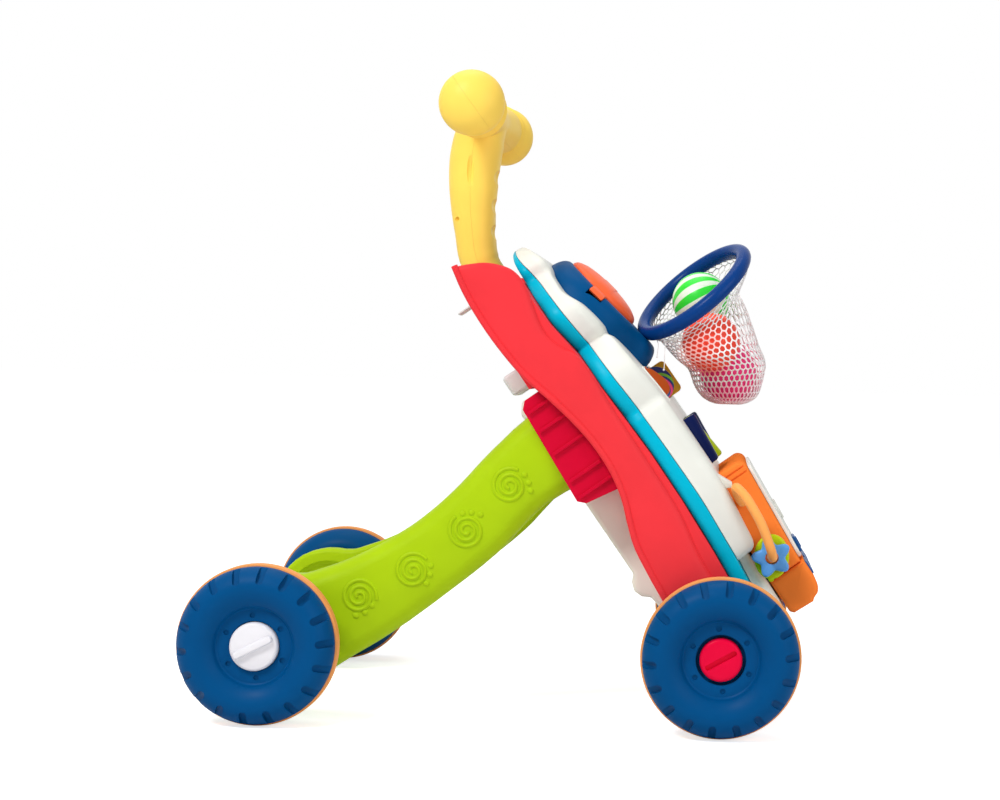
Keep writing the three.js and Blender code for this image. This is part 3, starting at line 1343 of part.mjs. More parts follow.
// Bead rail: a bent rod whose ends are sunk in the side of the music unit
function addRail() {
  const { top, bottom } = railEnds();
  const path = rail.pathShares.map(([u, v, out]) => new THREE.Vector3(
    u * rail.centreU,
    -unit.halfWidth - out * rail.reach,
    rail.low + v * (rail.high - rail.low),
  ));
  const sunk = rail.sink - unit.halfWidth;
  path.unshift(new THREE.Vector3(top.x, sunk, top.z), new THREE.Vector3(top.x, -unit.halfWidth - rail.radius, top.z));
  path.push(new THREE.Vector3(bottom.x, -unit.halfWidth - rail.radius, bottom.z), new THREE.Vector3(bottom.x, sunk, bottom.z));
  leaned.add(piece('bead_rail', tube(path, rail.radius, rail.sides, rail.steps), 'railOrange', 0.35));

  const corners = bead.starShares.length;
  const starPoints = Array.from({ length: bead.starPoints * corners }, (_, i) => {
    const angle = (2 * Math.PI * i) / (bead.starPoints * corners);
    const radius = bead.starRadius * bead.starShares[i % corners];
    return new THREE.Vector2(radius * Math.cos(angle), radius * Math.sin(angle));
  });
  const ovalPoints = Array.from({ length: bead.ovalSides }, (_, i) => {
    const angle = (2 * Math.PI * i) / bead.ovalSides;
    return new THREE.Vector2(bead.ovalHalfWidth * Math.cos(angle), bead.ovalHalfLength * Math.sin(angle))
      .rotateAround(new THREE.Vector2(), -stance.lean);
  });
  const down = new THREE.Vector2(-Math.sin(stance.lean), -Math.cos(stance.lean));
  const hole = barAlongY(bead.bore, -bead.thickness, bead.thickness, bead.boreSides);
  const nub = barAlongY(bead.nubRadius, -bead.nubHalfLength, bead.nubHalfLength, bead.nubSides)
    .translate(down.x * bead.ovalHalfLength, 0, down.y * bead.ovalHalfLength);
  const half = bead.thickness / 2;
  const flat = (points) => sideSlab(points, roundedLevels(-half, half, half / 3, half / 3, 1));
  const hang = bead.bore - rail.radius - seat;
  const shapes = [['star_bead', flat(starPoints), 'starBlue'], ['oval_bead', join(flat(ovalPoints), [sealed(nub)]), 'gearLime']];
  shapes.forEach(([name, shape, colour], i) => {
    const mesh = piece(name, cut(shape, [hole]), colour, 0.3);
    const reach = unit.halfWidth + rail.reach * bead.placeShare - i * (bead.thickness + running);
    mesh.position.set(bottom.x + down.x * hang, -reach, bottom.z + down.y * hang);
    leaned.add(mesh);
  });
}

addWheels();
addAxles();
addBody();
addLegs();
addPanel();
addHoop();
addWindows();
addUnit();
addRail();

// The origin lies under the middle of the whole walker
walker.updateMatrixWorld(true);
const extent = new THREE.Box3().setFromObject(walker, true);
walker.position.x = -(extent.min.x + extent.max.x) / 2;

export default walker;
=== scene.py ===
"""Baby push walker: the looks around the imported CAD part.

Metres, +X forward, +Y the walker's left, +Z up.
"""

import math

import bmesh
import bpy
import numpy as np
from mathutils import Matrix, Vector


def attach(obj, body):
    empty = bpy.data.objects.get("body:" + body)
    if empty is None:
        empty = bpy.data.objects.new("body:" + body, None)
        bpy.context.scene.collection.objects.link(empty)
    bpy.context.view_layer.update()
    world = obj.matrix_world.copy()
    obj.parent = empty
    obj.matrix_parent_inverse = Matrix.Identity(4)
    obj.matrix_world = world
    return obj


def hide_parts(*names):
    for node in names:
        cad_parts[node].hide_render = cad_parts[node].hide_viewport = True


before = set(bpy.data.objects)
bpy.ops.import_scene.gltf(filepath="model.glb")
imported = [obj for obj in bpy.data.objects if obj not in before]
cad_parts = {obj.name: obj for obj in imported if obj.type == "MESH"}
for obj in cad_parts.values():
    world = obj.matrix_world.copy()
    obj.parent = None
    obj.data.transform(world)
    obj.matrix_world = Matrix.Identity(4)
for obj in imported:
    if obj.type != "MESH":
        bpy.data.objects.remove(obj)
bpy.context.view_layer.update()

mm = 0.001
turn = 2 * math.pi
degree = math.pi / 180
TINY = 0.01 * mm

# Where the main frames of the walker lie
LEAN = 36 * degree
FRONT_AXLE = Vector((161.935, 0, 58.99)) * mm
REAR_AXLE = Vector((-176.765, 0, 58.99)) * mm
WHEEL_MIDDLE = 152.5 * mm
BODY = Matrix.Translation(FRONT_AXLE) @ Matrix.Rotation(-LEAN, 4, "Y")
TO_RIGHT = Matrix.Rotation(math.pi / 2, 4, "X")
HOUSING = (BODY @ Matrix.Translation(Vector((55.5, 0, 262.5)) * mm)
           @ Matrix.Rotation(-10.2 * degree, 4, "Y"))
HOOP = (BODY @ Matrix.Translation(Vector((136.2, 0, 238.8)) * mm)
        @ Matrix.Rotation(-4.7 * degree, 4, "Y")
        @ Matrix.Rotation(18.5 * degree, 4, "X"))
SLOPE = (BODY @ Matrix.Translation(Vector((86.14, 0, 16.7)) * mm)
         @ Matrix.Rotation(4.79 * degree, 4, "Y"))


# ---------- finishes ----------

LOOK = "_look"  # at the end of the names of the materials and of some finished pieces
MOTTLE_SCALE, GLOSS_SCALE, GLOSS_SPREAD = 28, 60, 0.05
RELIEF_DEPTH = 0.2 * mm


def linear(hex_colour):
    """Red, green, blue and alpha of a colour written as in paint programs."""
    parts = [int(hex_colour[i:i + 2], 16) / 255 for i in (1, 3, 5)]
    return [p / 12.92 if p <= 0.04045 else ((p + 0.055) / 1.055) ** 2.4 for p in parts] + [1]


class Nodes:
    """A material whose nodes are added and joined one by one."""

    def __init__(self, name):
        self.material = bpy.data.materials.new(name + LOOK)
        self.material.use_nodes = True
        self.tree = self.material.node_tree
        self.shader = self.tree.nodes["Principled BSDF"]

    def feed(self, socket, value):
        """Links a socket to another node's output, or sets its value."""
        if isinstance(value, bpy.types.NodeSocket):
            self.tree.links.new(value, socket)
        else:
            socket.default_value = value

    def add(self, kind, inputs=None, **settings):
        node = self.tree.nodes.new(kind)
        for key, value in settings.items():
            setattr(node, key, value)
        for key, value in (inputs or {}).items():
            self.feed(node.inputs[key], value)
        return node

    def set(self, socket, value):
        self.feed(self.shader.inputs[socket], value)

    def rough(self, height, strength):
        """A surface relief from a height."""
        inputs = {"Height": height, "Strength": strength, "Distance": RELIEF_DEPTH}
        self.set("Normal", self.add("ShaderNodeBump", inputs).outputs["Normal"])

    def place(self):
        return self.add("ShaderNodeTexCoord").outputs["Object"]

    def noise(self, place, scale):
        return self.add("ShaderNodeTexNoise", {"Vector": place, "Scale": scale}).outputs["Fac"]

    def ranged(self, value, low, high, start=0.3, end=0.7):
        names = {"Value": value, "From Min": start, "From Max": end, "To Min": low, "To Max": high}
        return self.add("ShaderNodeMapRange", names).outputs["Result"]

    def mixed(self, share, first, second):
        """A mix of two colours; 0, 6, 7 and 2 are the colour sockets of the Mix node."""
        return self.add("ShaderNodeMix", {0: share, 6: first, 7: second},
                        data_type="RGBA").outputs[2]

    def maths(self, operation, first, second=0.0):
        return self.add("ShaderNodeMath", {0: first, 1: second}, operation=operation).outputs[0]

    def distance(self, place, point):
        """How far a place is from a fixed point."""
        node = self.add("ShaderNodeVectorMath", {0: place, 1: point}, operation="DISTANCE")
        return node.outputs["Value"]


def shaded(tint, factor):
    return [min(1, part * factor) for part in tint[:3]] + [1]


def plastic(name, hex_colour, roughness=0.36, mottle=0.04, grain=0.05, fine=900, sheen=0.12):
    """Moulded plastic: a faint mottle in the colour, patchy gloss and a fine surface grain."""
    nodes = Nodes(name)
    tint = linear(hex_colour)
    place = nodes.place()
    clouds = nodes.ranged(nodes.noise(place, MOTTLE_SCALE), 0, 1)
    nodes.set("Base Color", nodes.mixed(clouds, shaded(tint, 1 - mottle), shaded(tint, 1 + mottle)))
    patches = nodes.noise(place, GLOSS_SCALE)
    nodes.set("Roughness",
              nodes.ranged(patches, roughness - GLOSS_SPREAD, roughness + GLOSS_SPREAD))
    nodes.set("Specular IOR Level", sheen)
    nodes.rough(nodes.noise(place, fine), grain)
    return nodes.material


finishes = {
    "navy": plastic("navy_plastic", "#004a80", 0.42, sheen=0.05),
    "band": plastic("band_rubber", "#f0a05c", 0.55, grain=0.1),
    "cap": plastic("cap_red", "#e5063a", 0.34, sheen=0.06),
    "knob": plastic("knob_white", "#e8e6ea", 0.34),
    "red": plastic("body_red", "#ea383f", 0.4, sheen=0.05),
    "collar": plastic("collar_red", "#cf0630", 0.36, sheen=0.06),
    "lime": plastic("leg_lime", "#aacb12", 0.42, sheen=0.06),
    "beige": plastic("cover_beige", "#efe7dc", 0.46),
    "grey": plastic("fitting_grey", "#dcdad8", 0.42, sheen=0.03),
    "white": plastic("panel_white", "#e6e7df", 0.34, sheen=0.06),
    "teal": plastic("rim_teal", "#00b4d2", 0.34, sheen=0.06),
    "yellow": plastic("handle_yellow", "#ffd75e", 0.4),
    "coral": plastic("dome_coral", "#ff6a3c", 0.36),
    "hoop": plastic("hoop_navy", "#073a7e", 0.25, sheen=0.08),
    "thread": plastic("net_thread", "#f3f0ef", 0.7, grain=0.3, fine=2500),
    "ball": plastic("ball_orange", "#ff5844", 0.26),
    "pink": plastic("ball_pink", "#ff4790", 0.26),
    "brown": plastic("tile_brown", "#b9521f", 0.36),
    "gold": plastic("tile_yellow", "#ffc238", 0.36),
    "ink": plastic("roller_navy", "#131f52", 0.24, sheen=0.02),
    "olive": plastic("roller_lime", "#a9c21a", 0.28, sheen=0.02),
    "orange": plastic("box_orange", "#ff8438", 0.3, sheen=0.0),
    "rail": plastic("rail_orange", "#fdac5b", 0.36),
    "star": plastic("star_blue", "#5a9fe4", 0.3, sheen=0.25),
    "bead": plastic("bead_lime", "#c3d60a", 0.36),
    "key": plastic("key_blue", "#14508f", 0.34),
}


STEEL_STRETCH, STEEL_LINES = (1, 0.02, 1), 1800


def steel():
    """Drawn steel with fine lines along the axle."""
    nodes = Nodes("axle_steel")
    place = nodes.add("ShaderNodeMapping",
                      {"Vector": nodes.place(), "Scale": STEEL_STRETCH}).outputs["Vector"]
    lines = nodes.noise(place, STEEL_LINES)
    nodes.set("Base Color", nodes.mixed(lines, linear("#a8abb0"), linear("#c6c9cc")))
    nodes.set("Metallic", 1.0)
    nodes.set("Roughness", nodes.ranged(lines, 0.24, 0.38))
    return nodes.material


finishes["steel"] = steel()


# ---------- modelling ----------

def clear():
    bpy.ops.object.select_all(action="DESELECT")


def pick(*pieces):
    """Selects the pieces, with the first as the active one."""
    clear()
    for piece in pieces:
        piece.select_set(True)
    bpy.context.view_layer.objects.active = pieces[0]


def edit(kind="VERT", action="SELECT"):
    bpy.ops.object.mode_set(mode="EDIT")
    bpy.ops.mesh.select_mode(type=kind)
    bpy.ops.mesh.select_all(action=action)


def done():
    bpy.ops.object.mode_set(mode="OBJECT")


def outward():
    bpy.ops.mesh.select_all(action="SELECT")
    bpy.ops.mesh.normals_make_consistent(inside=False)


def choose(piece, kind, test):
    """In edit mode, selects the vertices, edges or faces that pass a test."""
    bpy.ops.mesh.select_mode(type=kind)
    bpy.ops.mesh.select_all(action="DESELECT")
    done()
    data = piece.data
    group = {"VERT": data.vertices, "EDGE": data.edges, "FACE": data.polygons}[kind]
    for item in group:
        item.select = test(item)
    bpy.ops.object.mode_set(mode="EDIT")


def ends(piece, edge):
    return [piece.data.vertices[i].co for i in edge.vertices]


def loop(name, points):
    """A closed loop of edges through the points."""
    clear()
    bpy.ops.mesh.primitive_circle_add(vertices=len(points), radius=mm)
    piece = bpy.context.object
    piece.name = name
    for vertex, point in zip(piece.data.vertices, points):
        vertex.co = point
    return piece


def bevel_where(piece, test, size, segments):
    edit("EDGE", "DESELECT")
    choose(piece, "EDGE", test)
    bpy.ops.mesh.bevel(offset=size, segments=segments, affect="EDGES", clamp_overlap=False)
    done()


def slab(name, outline, low, high, low_edge=0, high_edge=0, segments=4):
    """A plate of an outline in x and y between two heights, with its rims rounded."""
    piece = loop(name, [Vector((x, y, low)) for x, y in outline])
    edit()
    bpy.ops.mesh.edge_face_add()
    bpy.ops.mesh.extrude_region_move(TRANSFORM_OT_translate={"value": (0, 0, high - low)})
    outward()
    done()
    for level, size in ((high, high_edge), (low, low_edge)):
        if size:
            bevel_where(piece, lambda e, z=level: all(abs(c.z - z) < TINY for c in ends(piece, e)),
                        size, segments)
    return piece


def turned(name, profile, steps=96):
    """A closed profile of (radius, out) turned about the Y axis, out towards -Y."""
    piece = loop(name, [Vector((0, -out, radius)) for radius, out in profile])
    edit()
    bpy.ops.mesh.spin(steps=steps, angle=turn, center=(0, 0, 0), axis=(0, 1, 0))
    bpy.ops.mesh.select_all(action="SELECT")
    bpy.ops.mesh.remove_doubles(threshold=TINY)
    bpy.ops.mesh.select_all(action="SELECT")
    bpy.ops.mesh.delete_loose(use_verts=True, use_edges=True, use_faces=False)
    outward()
    done()
    return piece


def apply(piece, kind, **settings):
    modifier = piece.modifiers.new(kind.lower(), kind)
    for key, value in settings.items():
        setattr(modifier, key, value)
    pick(piece)
    bpy.ops.object.modifier_apply(modifier=modifier.name)


def drop(piece):
    bpy.data.objects.remove(piece, do_unlink=True)


def carve(piece, cutters, operation="DIFFERENCE"):
    """Cuts the cutters away from the piece, or joins them to it, and clears them."""
    for cutter in cutters:
        apply(piece, "BOOLEAN", operation=operation, object=cutter, solver="EXACT")
        drop(cutter)
    return piece


def merge(*pieces):
    """One mesh of several closed ones."""
    pick(*pieces)
    bpy.ops.object.join()
    return bpy.context.object


def settle(piece, matrix):
    piece.data.transform(matrix)
    if matrix.determinant() < 0:
        piece.data.flip_normals()
    piece.data.update()
    return piece


def soften(piece, size):
    apply(piece, "BEVEL", width=size, segments=3, limit_method="ANGLE", angle_limit=30 * degree,
          use_clamp_overlap=True, harden_normals=False)
    return piece


def dress(piece, finish, body, stands_for=(), sharp=35):
    """Shading, finish, CAD body and the CAD nodes that a finished piece stands for."""
    pick(piece)
    bpy.ops.object.shade_smooth_by_angle(angle=sharp * degree)
    material = finishes[finish] if isinstance(finish, str) else finish
    piece.data.materials.clear()
    piece.data.materials.append(material)
    material.name.split(LOOK)[0]
    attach(piece, body)
    if stands_for:
        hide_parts(*stands_for)
    return piece


def copied(piece, name):
    other = piece.copy()
    other.data = piece.data.copy()
    other.name = name
    bpy.context.scene.collection.objects.link(other)
    return other


def other_side(piece, name):
    """A mirrored copy across the walker's middle."""
    return settle(copied(piece, name), Matrix.Scale(-1, 4, (0, 1, 0)))


def copy_of(node, name):
    """A CAD node's mesh as a clean copy, ready for rounding."""
    clear()
    piece = copied(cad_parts[node], name)
    pick(piece)
    edit()
    bpy.ops.mesh.remove_doubles(threshold=2 * TINY)
    bpy.ops.mesh.select_all(action="SELECT")
    bpy.ops.mesh.dissolve_limited(angle_limit=0.5 * degree)
    outward()
    done()
    return piece


# ---------- curves ----------

def eased(start, leave, end, reach, t):
    """A value between two ends, by the way the curve leaves the one and reaches the other."""
    return (start * (2 * t ** 3 - 3 * t * t + 1) + leave * (t ** 3 - 2 * t * t + t)
            + end * (3 * t * t - 2 * t ** 3) + reach * (t ** 3 - t * t))


def smooth(points, fine=6, closed=False, corner=50):
    """Points along a soft curve through the given ones, which keeps its sharp corners."""
    points = [Vector(p) for p in points]
    count = len(points)
    spans = [points[(i + 1) % count] - points[i] for i in range(count)]
    sizes = [max(span.length, TINY) for span in spans]
    ways = [span / size for span, size in zip(spans, sizes)]

    def tangent(i, k):
        before, after = ways[i - 1], ways[i % count]
        if not closed and i in (0, count - 1) or before.angle(after, 0) > corner * degree:
            return ways[k]
        return (before * sizes[i % count] + after * sizes[i - 1]).normalized()

    result = []
    for i in range(count if closed else count - 1):
        leave = tangent(i, i) * sizes[i]
        reach = tangent((i + 1) % count if closed else i + 1, i) * sizes[i]
        for k in range(fine):
            result.append(eased(points[i], leave, points[(i + 1) % count], reach, k / fine))
    return result if closed else result + [points[-1]]


def in_mm(points):
    return [tuple(value * mm for value in point) for point in points]


def round_rectangle(centre_x, centre_y, half_x, half_y, corner, steps=6):
    points = []
    for k, (way_x, way_y) in enumerate(((1, 1), (-1, 1), (-1, -1), (1, -1))):
        for i in range(steps + 1):
            angle = (k + i / steps) * turn / 4
            points.append((centre_x + way_x * (half_x - corner) + corner * math.cos(angle),
                           centre_y + way_y * (half_y - corner) + corner * math.sin(angle)))
    return points


def bar(name, radius, low, high, edge=0, steps=48):
    """A round bar along -Y from low to high, its far rim rounded."""
    profile = [(0, low), (radius, low), (radius, high - edge)]
    if edge:
        profile += [(radius - edge + edge * math.cos(a * turn / 16),
                     high - edge + edge * math.sin(a * turn / 16)) for a in (1, 2, 3)]
    profile += [(radius - edge, high), (0, high)]
    return turned(name, profile, steps)


# ---------- wheels ----------

NOTCHES = 18
NOTCH_WIDTH, NOTCH_LENGTH, NOTCH_DEPTH = 5.6 * mm, 17 * mm, 1.7 * mm
NOTCH_START, NOTCH_PLACE = 5.5 * degree, Vector((0, -15.64, 52.4)) * mm
DIMPLES, DIMPLE_START, DIMPLE_PLACE = 6, 55 * degree, Vector((0, -11.8, 22.7)) * mm
HUB_BORE, HUB_FLOOR = 4.3, 3.3
CAP_RIM = [(15.6, 3.3), (15.6, 11.4), (15.35, 12.5), (14.6, 13.3), (13.4, 13.7), (11, 13.9),
           (0, 13.9)]
CAP_SLOT, CAP_SLOT_TURN = (12.8, 2, 1.9), -30 * degree  # half length, half width and corner, in mm
KNOB_RIM = [(17.7, 3.3), (17.7, 12.6), (17.4, 13.8), (16.6, 14.7), (15.4, 15.1), (0, 15.4)]
KNOB_RIDGE, KNOB_RIDGE_TURN = (15.6, 2.9, 2.6), -28 * degree
SHOULDER = [(57.4, 4.9), (57.3, 9), (55.7, 13.6), (52.2, 18.2), (47.2, 21.3), (42.5, 22),
            (37.5, 20.8), (32.5, 17.9), (29.2, 14.4), (28.2, 12), (27, 11)]
POCKET = [(19, 11), (18.4, 10.7), (18.2, 10.1), (18.2, 3), (4.3, 3), (4.3, 0.15), (54.2, 0.15),
          (54.2, 4.9)]


def outer_half():
    profile = [tuple(p) for p in smooth(in_mm(SHOULDER), 4)] + in_mm(POCKET)
    piece = turned("wheel_outer", profile)
    half, reach = NOTCH_WIDTH / 2, NOTCH_LENGTH / 2
    outline = [(-half, 2 * reach), (half, 2 * reach)] + [
        (half * math.cos(i * turn / 24), -reach + half - half * math.sin(i * turn / 24))
        for i in range(13)]
    slope = Matrix.Translation(NOTCH_PLACE) @ Matrix.Rotation(turn / 8, 4, "X")
    cutters = []
    for i in range(NOTCHES):
        about = Matrix.Rotation(NOTCH_START + i * turn / NOTCHES, 4, "Y")
        notch = slab("notch", outline[::-1], -NOTCH_DEPTH, 4 * mm, low_edge=0.5 * mm, segments=2)
        cutters.append(settle(notch, about @ slope))
    for i in range(DIMPLES):
        hole = bar("dimple", 2 * mm, -2 * mm, 2 * mm, steps=20)
        settle(hole, Matrix.Translation(DIMPLE_PLACE))
        cutters.append(settle(hole, Matrix.Rotation(DIMPLE_START + i * turn / DIMPLES, 4, "Y")))
    return carve(piece, [merge(*cutters)])


INNER_SIDE = [(57.4, 4.9), (57.2, 8), (55.2, 13), (51, 18), (46.5, 21), (42.5, 22), (36, 20.5),
              (31, 17), (28.5, 14.6), (27, 14)]


def inner_half():
    profile = [(r, -out) for r, out in [tuple(p) for p in smooth(in_mm(INNER_SIDE), 4)]]
    profile += in_mm([(4.3, -14), (4.3, -0.15), (54.2, -0.15), (54.2, -4.9)])
    return turned("wheel_inner", profile)


def tread_band():
    return turned("tread_band", in_mm([
        (54.6, -4.5), (58.3, -4.5), (58.85, -4.2), (59, -3.6), (59, 3.6), (58.85, 4.2), (58.3, 4.5),
        (54.6, 4.5)]))


def slotted_cap():
    inside = [(0, 10.6), (HUB_BORE, 10.6), (HUB_BORE, HUB_FLOOR)]
    cap = turned("slotted_cap", in_mm(inside + CAP_RIM), 64)
    outline = in_mm(round_rectangle(0, 0, *CAP_SLOT))
    slot = slab("slot", outline, -3.1 * mm, 4 * mm, low_edge=0.4 * mm, segments=2)
    top = Matrix.Translation(Vector((0, -CAP_RIM[-1][1], 0)) * mm)
    settle(slot, Matrix.Rotation(CAP_SLOT_TURN, 4, "Y") @ top @ TO_RIGHT)
    return carve(cap, [slot])


def finger_knob():
    knob = turned("finger_knob", in_mm([(0, HUB_FLOOR)] + KNOB_RIM), 64)
    outline = in_mm(round_rectangle(0, 0, *KNOB_RIDGE))
    ridge = slab("ridge", outline, -2 * mm, 3.4 * mm, high_edge=1.5 * mm)
    top = Matrix.Translation(Vector((0, -15.1, 0)) * mm)
    settle(ridge, Matrix.Rotation(KNOB_RIDGE_TURN, 4, "Y") @ top @ TO_RIGHT)
    return carve(knob, [ridge], "UNION")


def add_wheels():
    parts = [("wheel_outer", outer_half(), "navy"), ("wheel_inner", inner_half(), "navy"),
             ("tread_band", tread_band(), "band")]
    plugs = {"front": ("cap", slotted_cap(), "cap"), "rear": ("knob", finger_knob(), "knob")}
    for end, axle in (("front", FRONT_AXLE), ("rear", REAR_AXLE)):
        near = Matrix.Translation((axle.x, -WHEEL_MIDDLE, axle.z))
        for part, shape, finish in parts + [plugs[end]]:
            right = settle(copied(shape, f"{end}_{part}_right_look"), near)
            left = other_side(right, f"{end}_{part}_left_look")
            for side, piece in (("right", right), ("left", left)):
                body = f"rear_knob_{side}" if part == "knob" else f"{end}_wheel_{side}"
                dress(piece, finish, body, [f"{end}_{part}_{side}"])
    for shape in [shape for _, shape, _ in parts] + [plug[1] for plug in plugs.values()]:
        drop(shape)


add_wheels()


# ---------- soft plates ----------

STRAIGHT = 0.4 * degree  # a smaller turn of an outline counts as none


def outline_of(node, y, own_frame=Matrix.Identity(4)):
    """The longest outline where a plane at y cuts a CAD node, seen from the walker's right."""
    skin = bmesh.new()
    skin.from_mesh(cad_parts[node].data)
    bmesh.ops.remove_doubles(skin, verts=skin.verts, dist=TINY)
    bmesh.ops.bisect_plane(skin, geom=skin.verts[:] + skin.edges[:] + skin.faces[:], dist=TINY / 10,
                           plane_co=(0, y, 0), plane_no=(0, 1, 0), clear_inner=True,
                           clear_outer=True)
    left = dict.fromkeys(skin.verts)
    longest = []
    while left:
        here = next(iter(left))
        del left[here]
        path = [here.co.copy()]
        while True:
            near = [e.other_vert(here) for e in here.link_edges if e.other_vert(here) in left]
            if not near:
                break
            here = near[0]
            del left[here]
            path.append(here.co.copy())
        if len(path) > len(longest):
            longest = path
    skin.free()
    into = own_frame.inverted()
    flat = [Vector(((into @ p).x, (into @ p).z)) for p in longest]
    area = sum(a.x * b.y - b.x * a.y for a, b in zip(flat, flat[1:] + flat[:1]))
    flat = flat if area > 0 else flat[::-1]
    count = len(flat)
    return [p for i, p in enumerate(flat)
            if (p - flat[i - 1]).length > TINY and (flat[(i + 1) % count] - p).length > TINY
            and (p - flat[i - 1]).angle(flat[(i + 1) % count] - p) > STRAIGHT]


def soft_outline(points, fine=4, corner=50):
    return [Vector(p) for p in smooth(points, fine, closed=True, corner=corner)]


def fall(distance, rounding, rise, reach):
    """How far a soft face lies under its highest level, by distance from the outline."""
    inward = max(0.0, 1 - distance / rounding) if rounding else 0.0
    edge = rounding * (1 - math.sqrt(1 - inward * inward))
    return edge + rise * (1 - min(distance / reach, 1)) ** 2


def from_outline(outline, points):
    """Distances of points from an outline."""
    starts = np.array([p[:2] for p in outline])
    along = np.roll(starts, -1, axis=0) - starts
    spot = np.array([p[:2] for p in points])[:, None, :]
    lengths = np.maximum((along * along).sum(1), 1e-12)
    share = np.clip(((spot - starts) * along).sum(2) / lengths, 0, 1)
    return np.sqrt((((spot - starts) - along * share[:, :, None]) ** 2).sum(2)).min(1)


def plate(name, outline, low, high, rounding=2 * mm, rise=0.0, reach=20 * mm, pitch=0.0, steps=5):
    """A plate whose upper face is rounded at the rim and arches towards its middle."""
    outline = [Vector(p) for p in outline]
    piece = slab(name, outline, low, high)
    edit("FACE", "DESELECT")
    choose(piece, "FACE", lambda f: f.normal.z > 0.9 and f.center.z > high - TINY)
    rings = [rounding * (1 - math.cos(i * turn / 4 / steps)) for i in range(1, steps + 1)]
    widths = [b - a for a, b in zip([0] + rings, rings)]
    for width in widths:
        bpy.ops.mesh.inset(thickness=width, use_even_offset=True)
    for axis in (0, 1) if pitch else ():
        start = min(p[axis] for p in outline)
        span = max(p[axis] for p in outline) - start
        lines = int(span / pitch)
        for i in range(1, lines + 1):
            place, normal = Vector(), Vector()
            place[axis] = start + span * i / (lines + 1)
            normal[axis] = 1
            bpy.ops.mesh.select_all(action="SELECT")
            bpy.ops.mesh.bisect(plane_co=place, plane_no=normal)
    done()
    upper = [vertex for vertex in piece.data.vertices if vertex.co.z > high - TINY]
    for vertex, distance in zip(upper, from_outline(outline, [v.co for v in upper])):
        vertex.co.z -= fall(distance, rounding, rise, reach)
    edit()
    outward()
    done()
    return piece


def puffed(name, outline, half, rounding, rise, reach, pitch):
    """A plate that is soft on both faces."""
    piece = plate(name, outline, 0, half, rounding, rise, reach, pitch)
    edit("FACE", "DESELECT")
    choose(piece, "FACE", lambda f: f.normal.z < -0.9 and abs(f.center.z) < TINY)
    bpy.ops.mesh.delete(type="FACE")
    done()
    piece = merge(piece, settle(copied(piece, "under"), Matrix.Scale(-1, 4, (0, 0, 1))))
    edit()
    bpy.ops.mesh.remove_doubles(threshold=TINY)
    outward()
    done()
    return piece


def rod(name, path, radius, sides=16):
    """A round rod along a path."""
    curve = bpy.data.curves.new(name, "CURVE")
    curve.dimensions = "3D"
    curve.bevel_depth = radius
    curve.bevel_resolution = max(1, sides // 4 - 1)
    curve.use_fill_caps = True
    spline = curve.splines.new("POLY")
    spline.points.add(len(path) - 1)
    for point, place in zip(spline.points, path):
        point.co = (*place, 1)
    piece = bpy.data.objects.new(name, curve)
    bpy.context.scene.collection.objects.link(piece)
    pick(piece)
    bpy.ops.object.convert(target="MESH")
    piece = bpy.context.object
    edit()
    bpy.ops.mesh.remove_doubles(threshold=TINY / 10)
    outward()
    done()
    return piece


def ball(name, radius, place=(0, 0, 0), scale=(1, 1, 1), segments=24):
    clear()
    bpy.ops.mesh.primitive_uv_sphere_add(segments=segments, ring_count=segments // 2, radius=radius)
    piece = bpy.context.object
    piece.name = name
    return settle(piece, Matrix.Translation(place) @ Matrix.Diagonal((*scale, 1)))


# ---------- legs ----------

LEG_INNER, LEG_OUTER, LEG_SEAM = 81.8 * mm, 111.6 * mm, 95.2 * mm
LEG_FACE = (11 * mm, 6 * mm, 32 * mm)  # rounding, rise and reach of the outer face
SPIRALS = [((175.6, 118.4), (186.7, 127)), ((144.3, 83.6), (140.9, 96.3)),
           ((104.6, 52.3), (118, 56.4)), ((64.6, 31.5), (74.5, 25))]
DOTS = [(186.7, 127), (189.9, 121.1), (191.5, 115.1), (140.9, 96.3), (147.7, 97.2), (154.5, 95.9),
        (118, 56.4), (117.5, 49.6), (114.7, 42.8), (74.5, 25), (69.4, 19.6), (62.7, 17.1)]
SPIRAL_RADIUS, SPIRAL_PITCH, SPIRAL_TURNS = 13.5, 4.6, 2.6
SPIRAL_LEAD, SPIRAL_STEPS = 25 * degree, 36  # a spiral's start past its dots, and its points a turn
DOT_RADIUS, DOT_SHAPE = 2.3 * mm, (1, 1, 0.45)
LEG_BOSS = (10 * mm, LEG_SEAM + 10 * mm, 138 * mm, 1 * mm)
DISH = [(13, 0), (13, 20), (36, 20), (36, 4), (35, 2), (33, 0.5), (31, 0)]  # radius, depth
CROWDED = 5 * mm  # an outline point nearer than this to the one before is left out
FACE_IN = Matrix(((1, 0, 0, 0), (0, 0, 1, 0), (0, 1, 0, 0), (0, 0, 0, 1)))


def on_leg(dx, dz):
    return Vector((REAR_AXLE.x + dx * mm, REAR_AXLE.z + dz * mm))


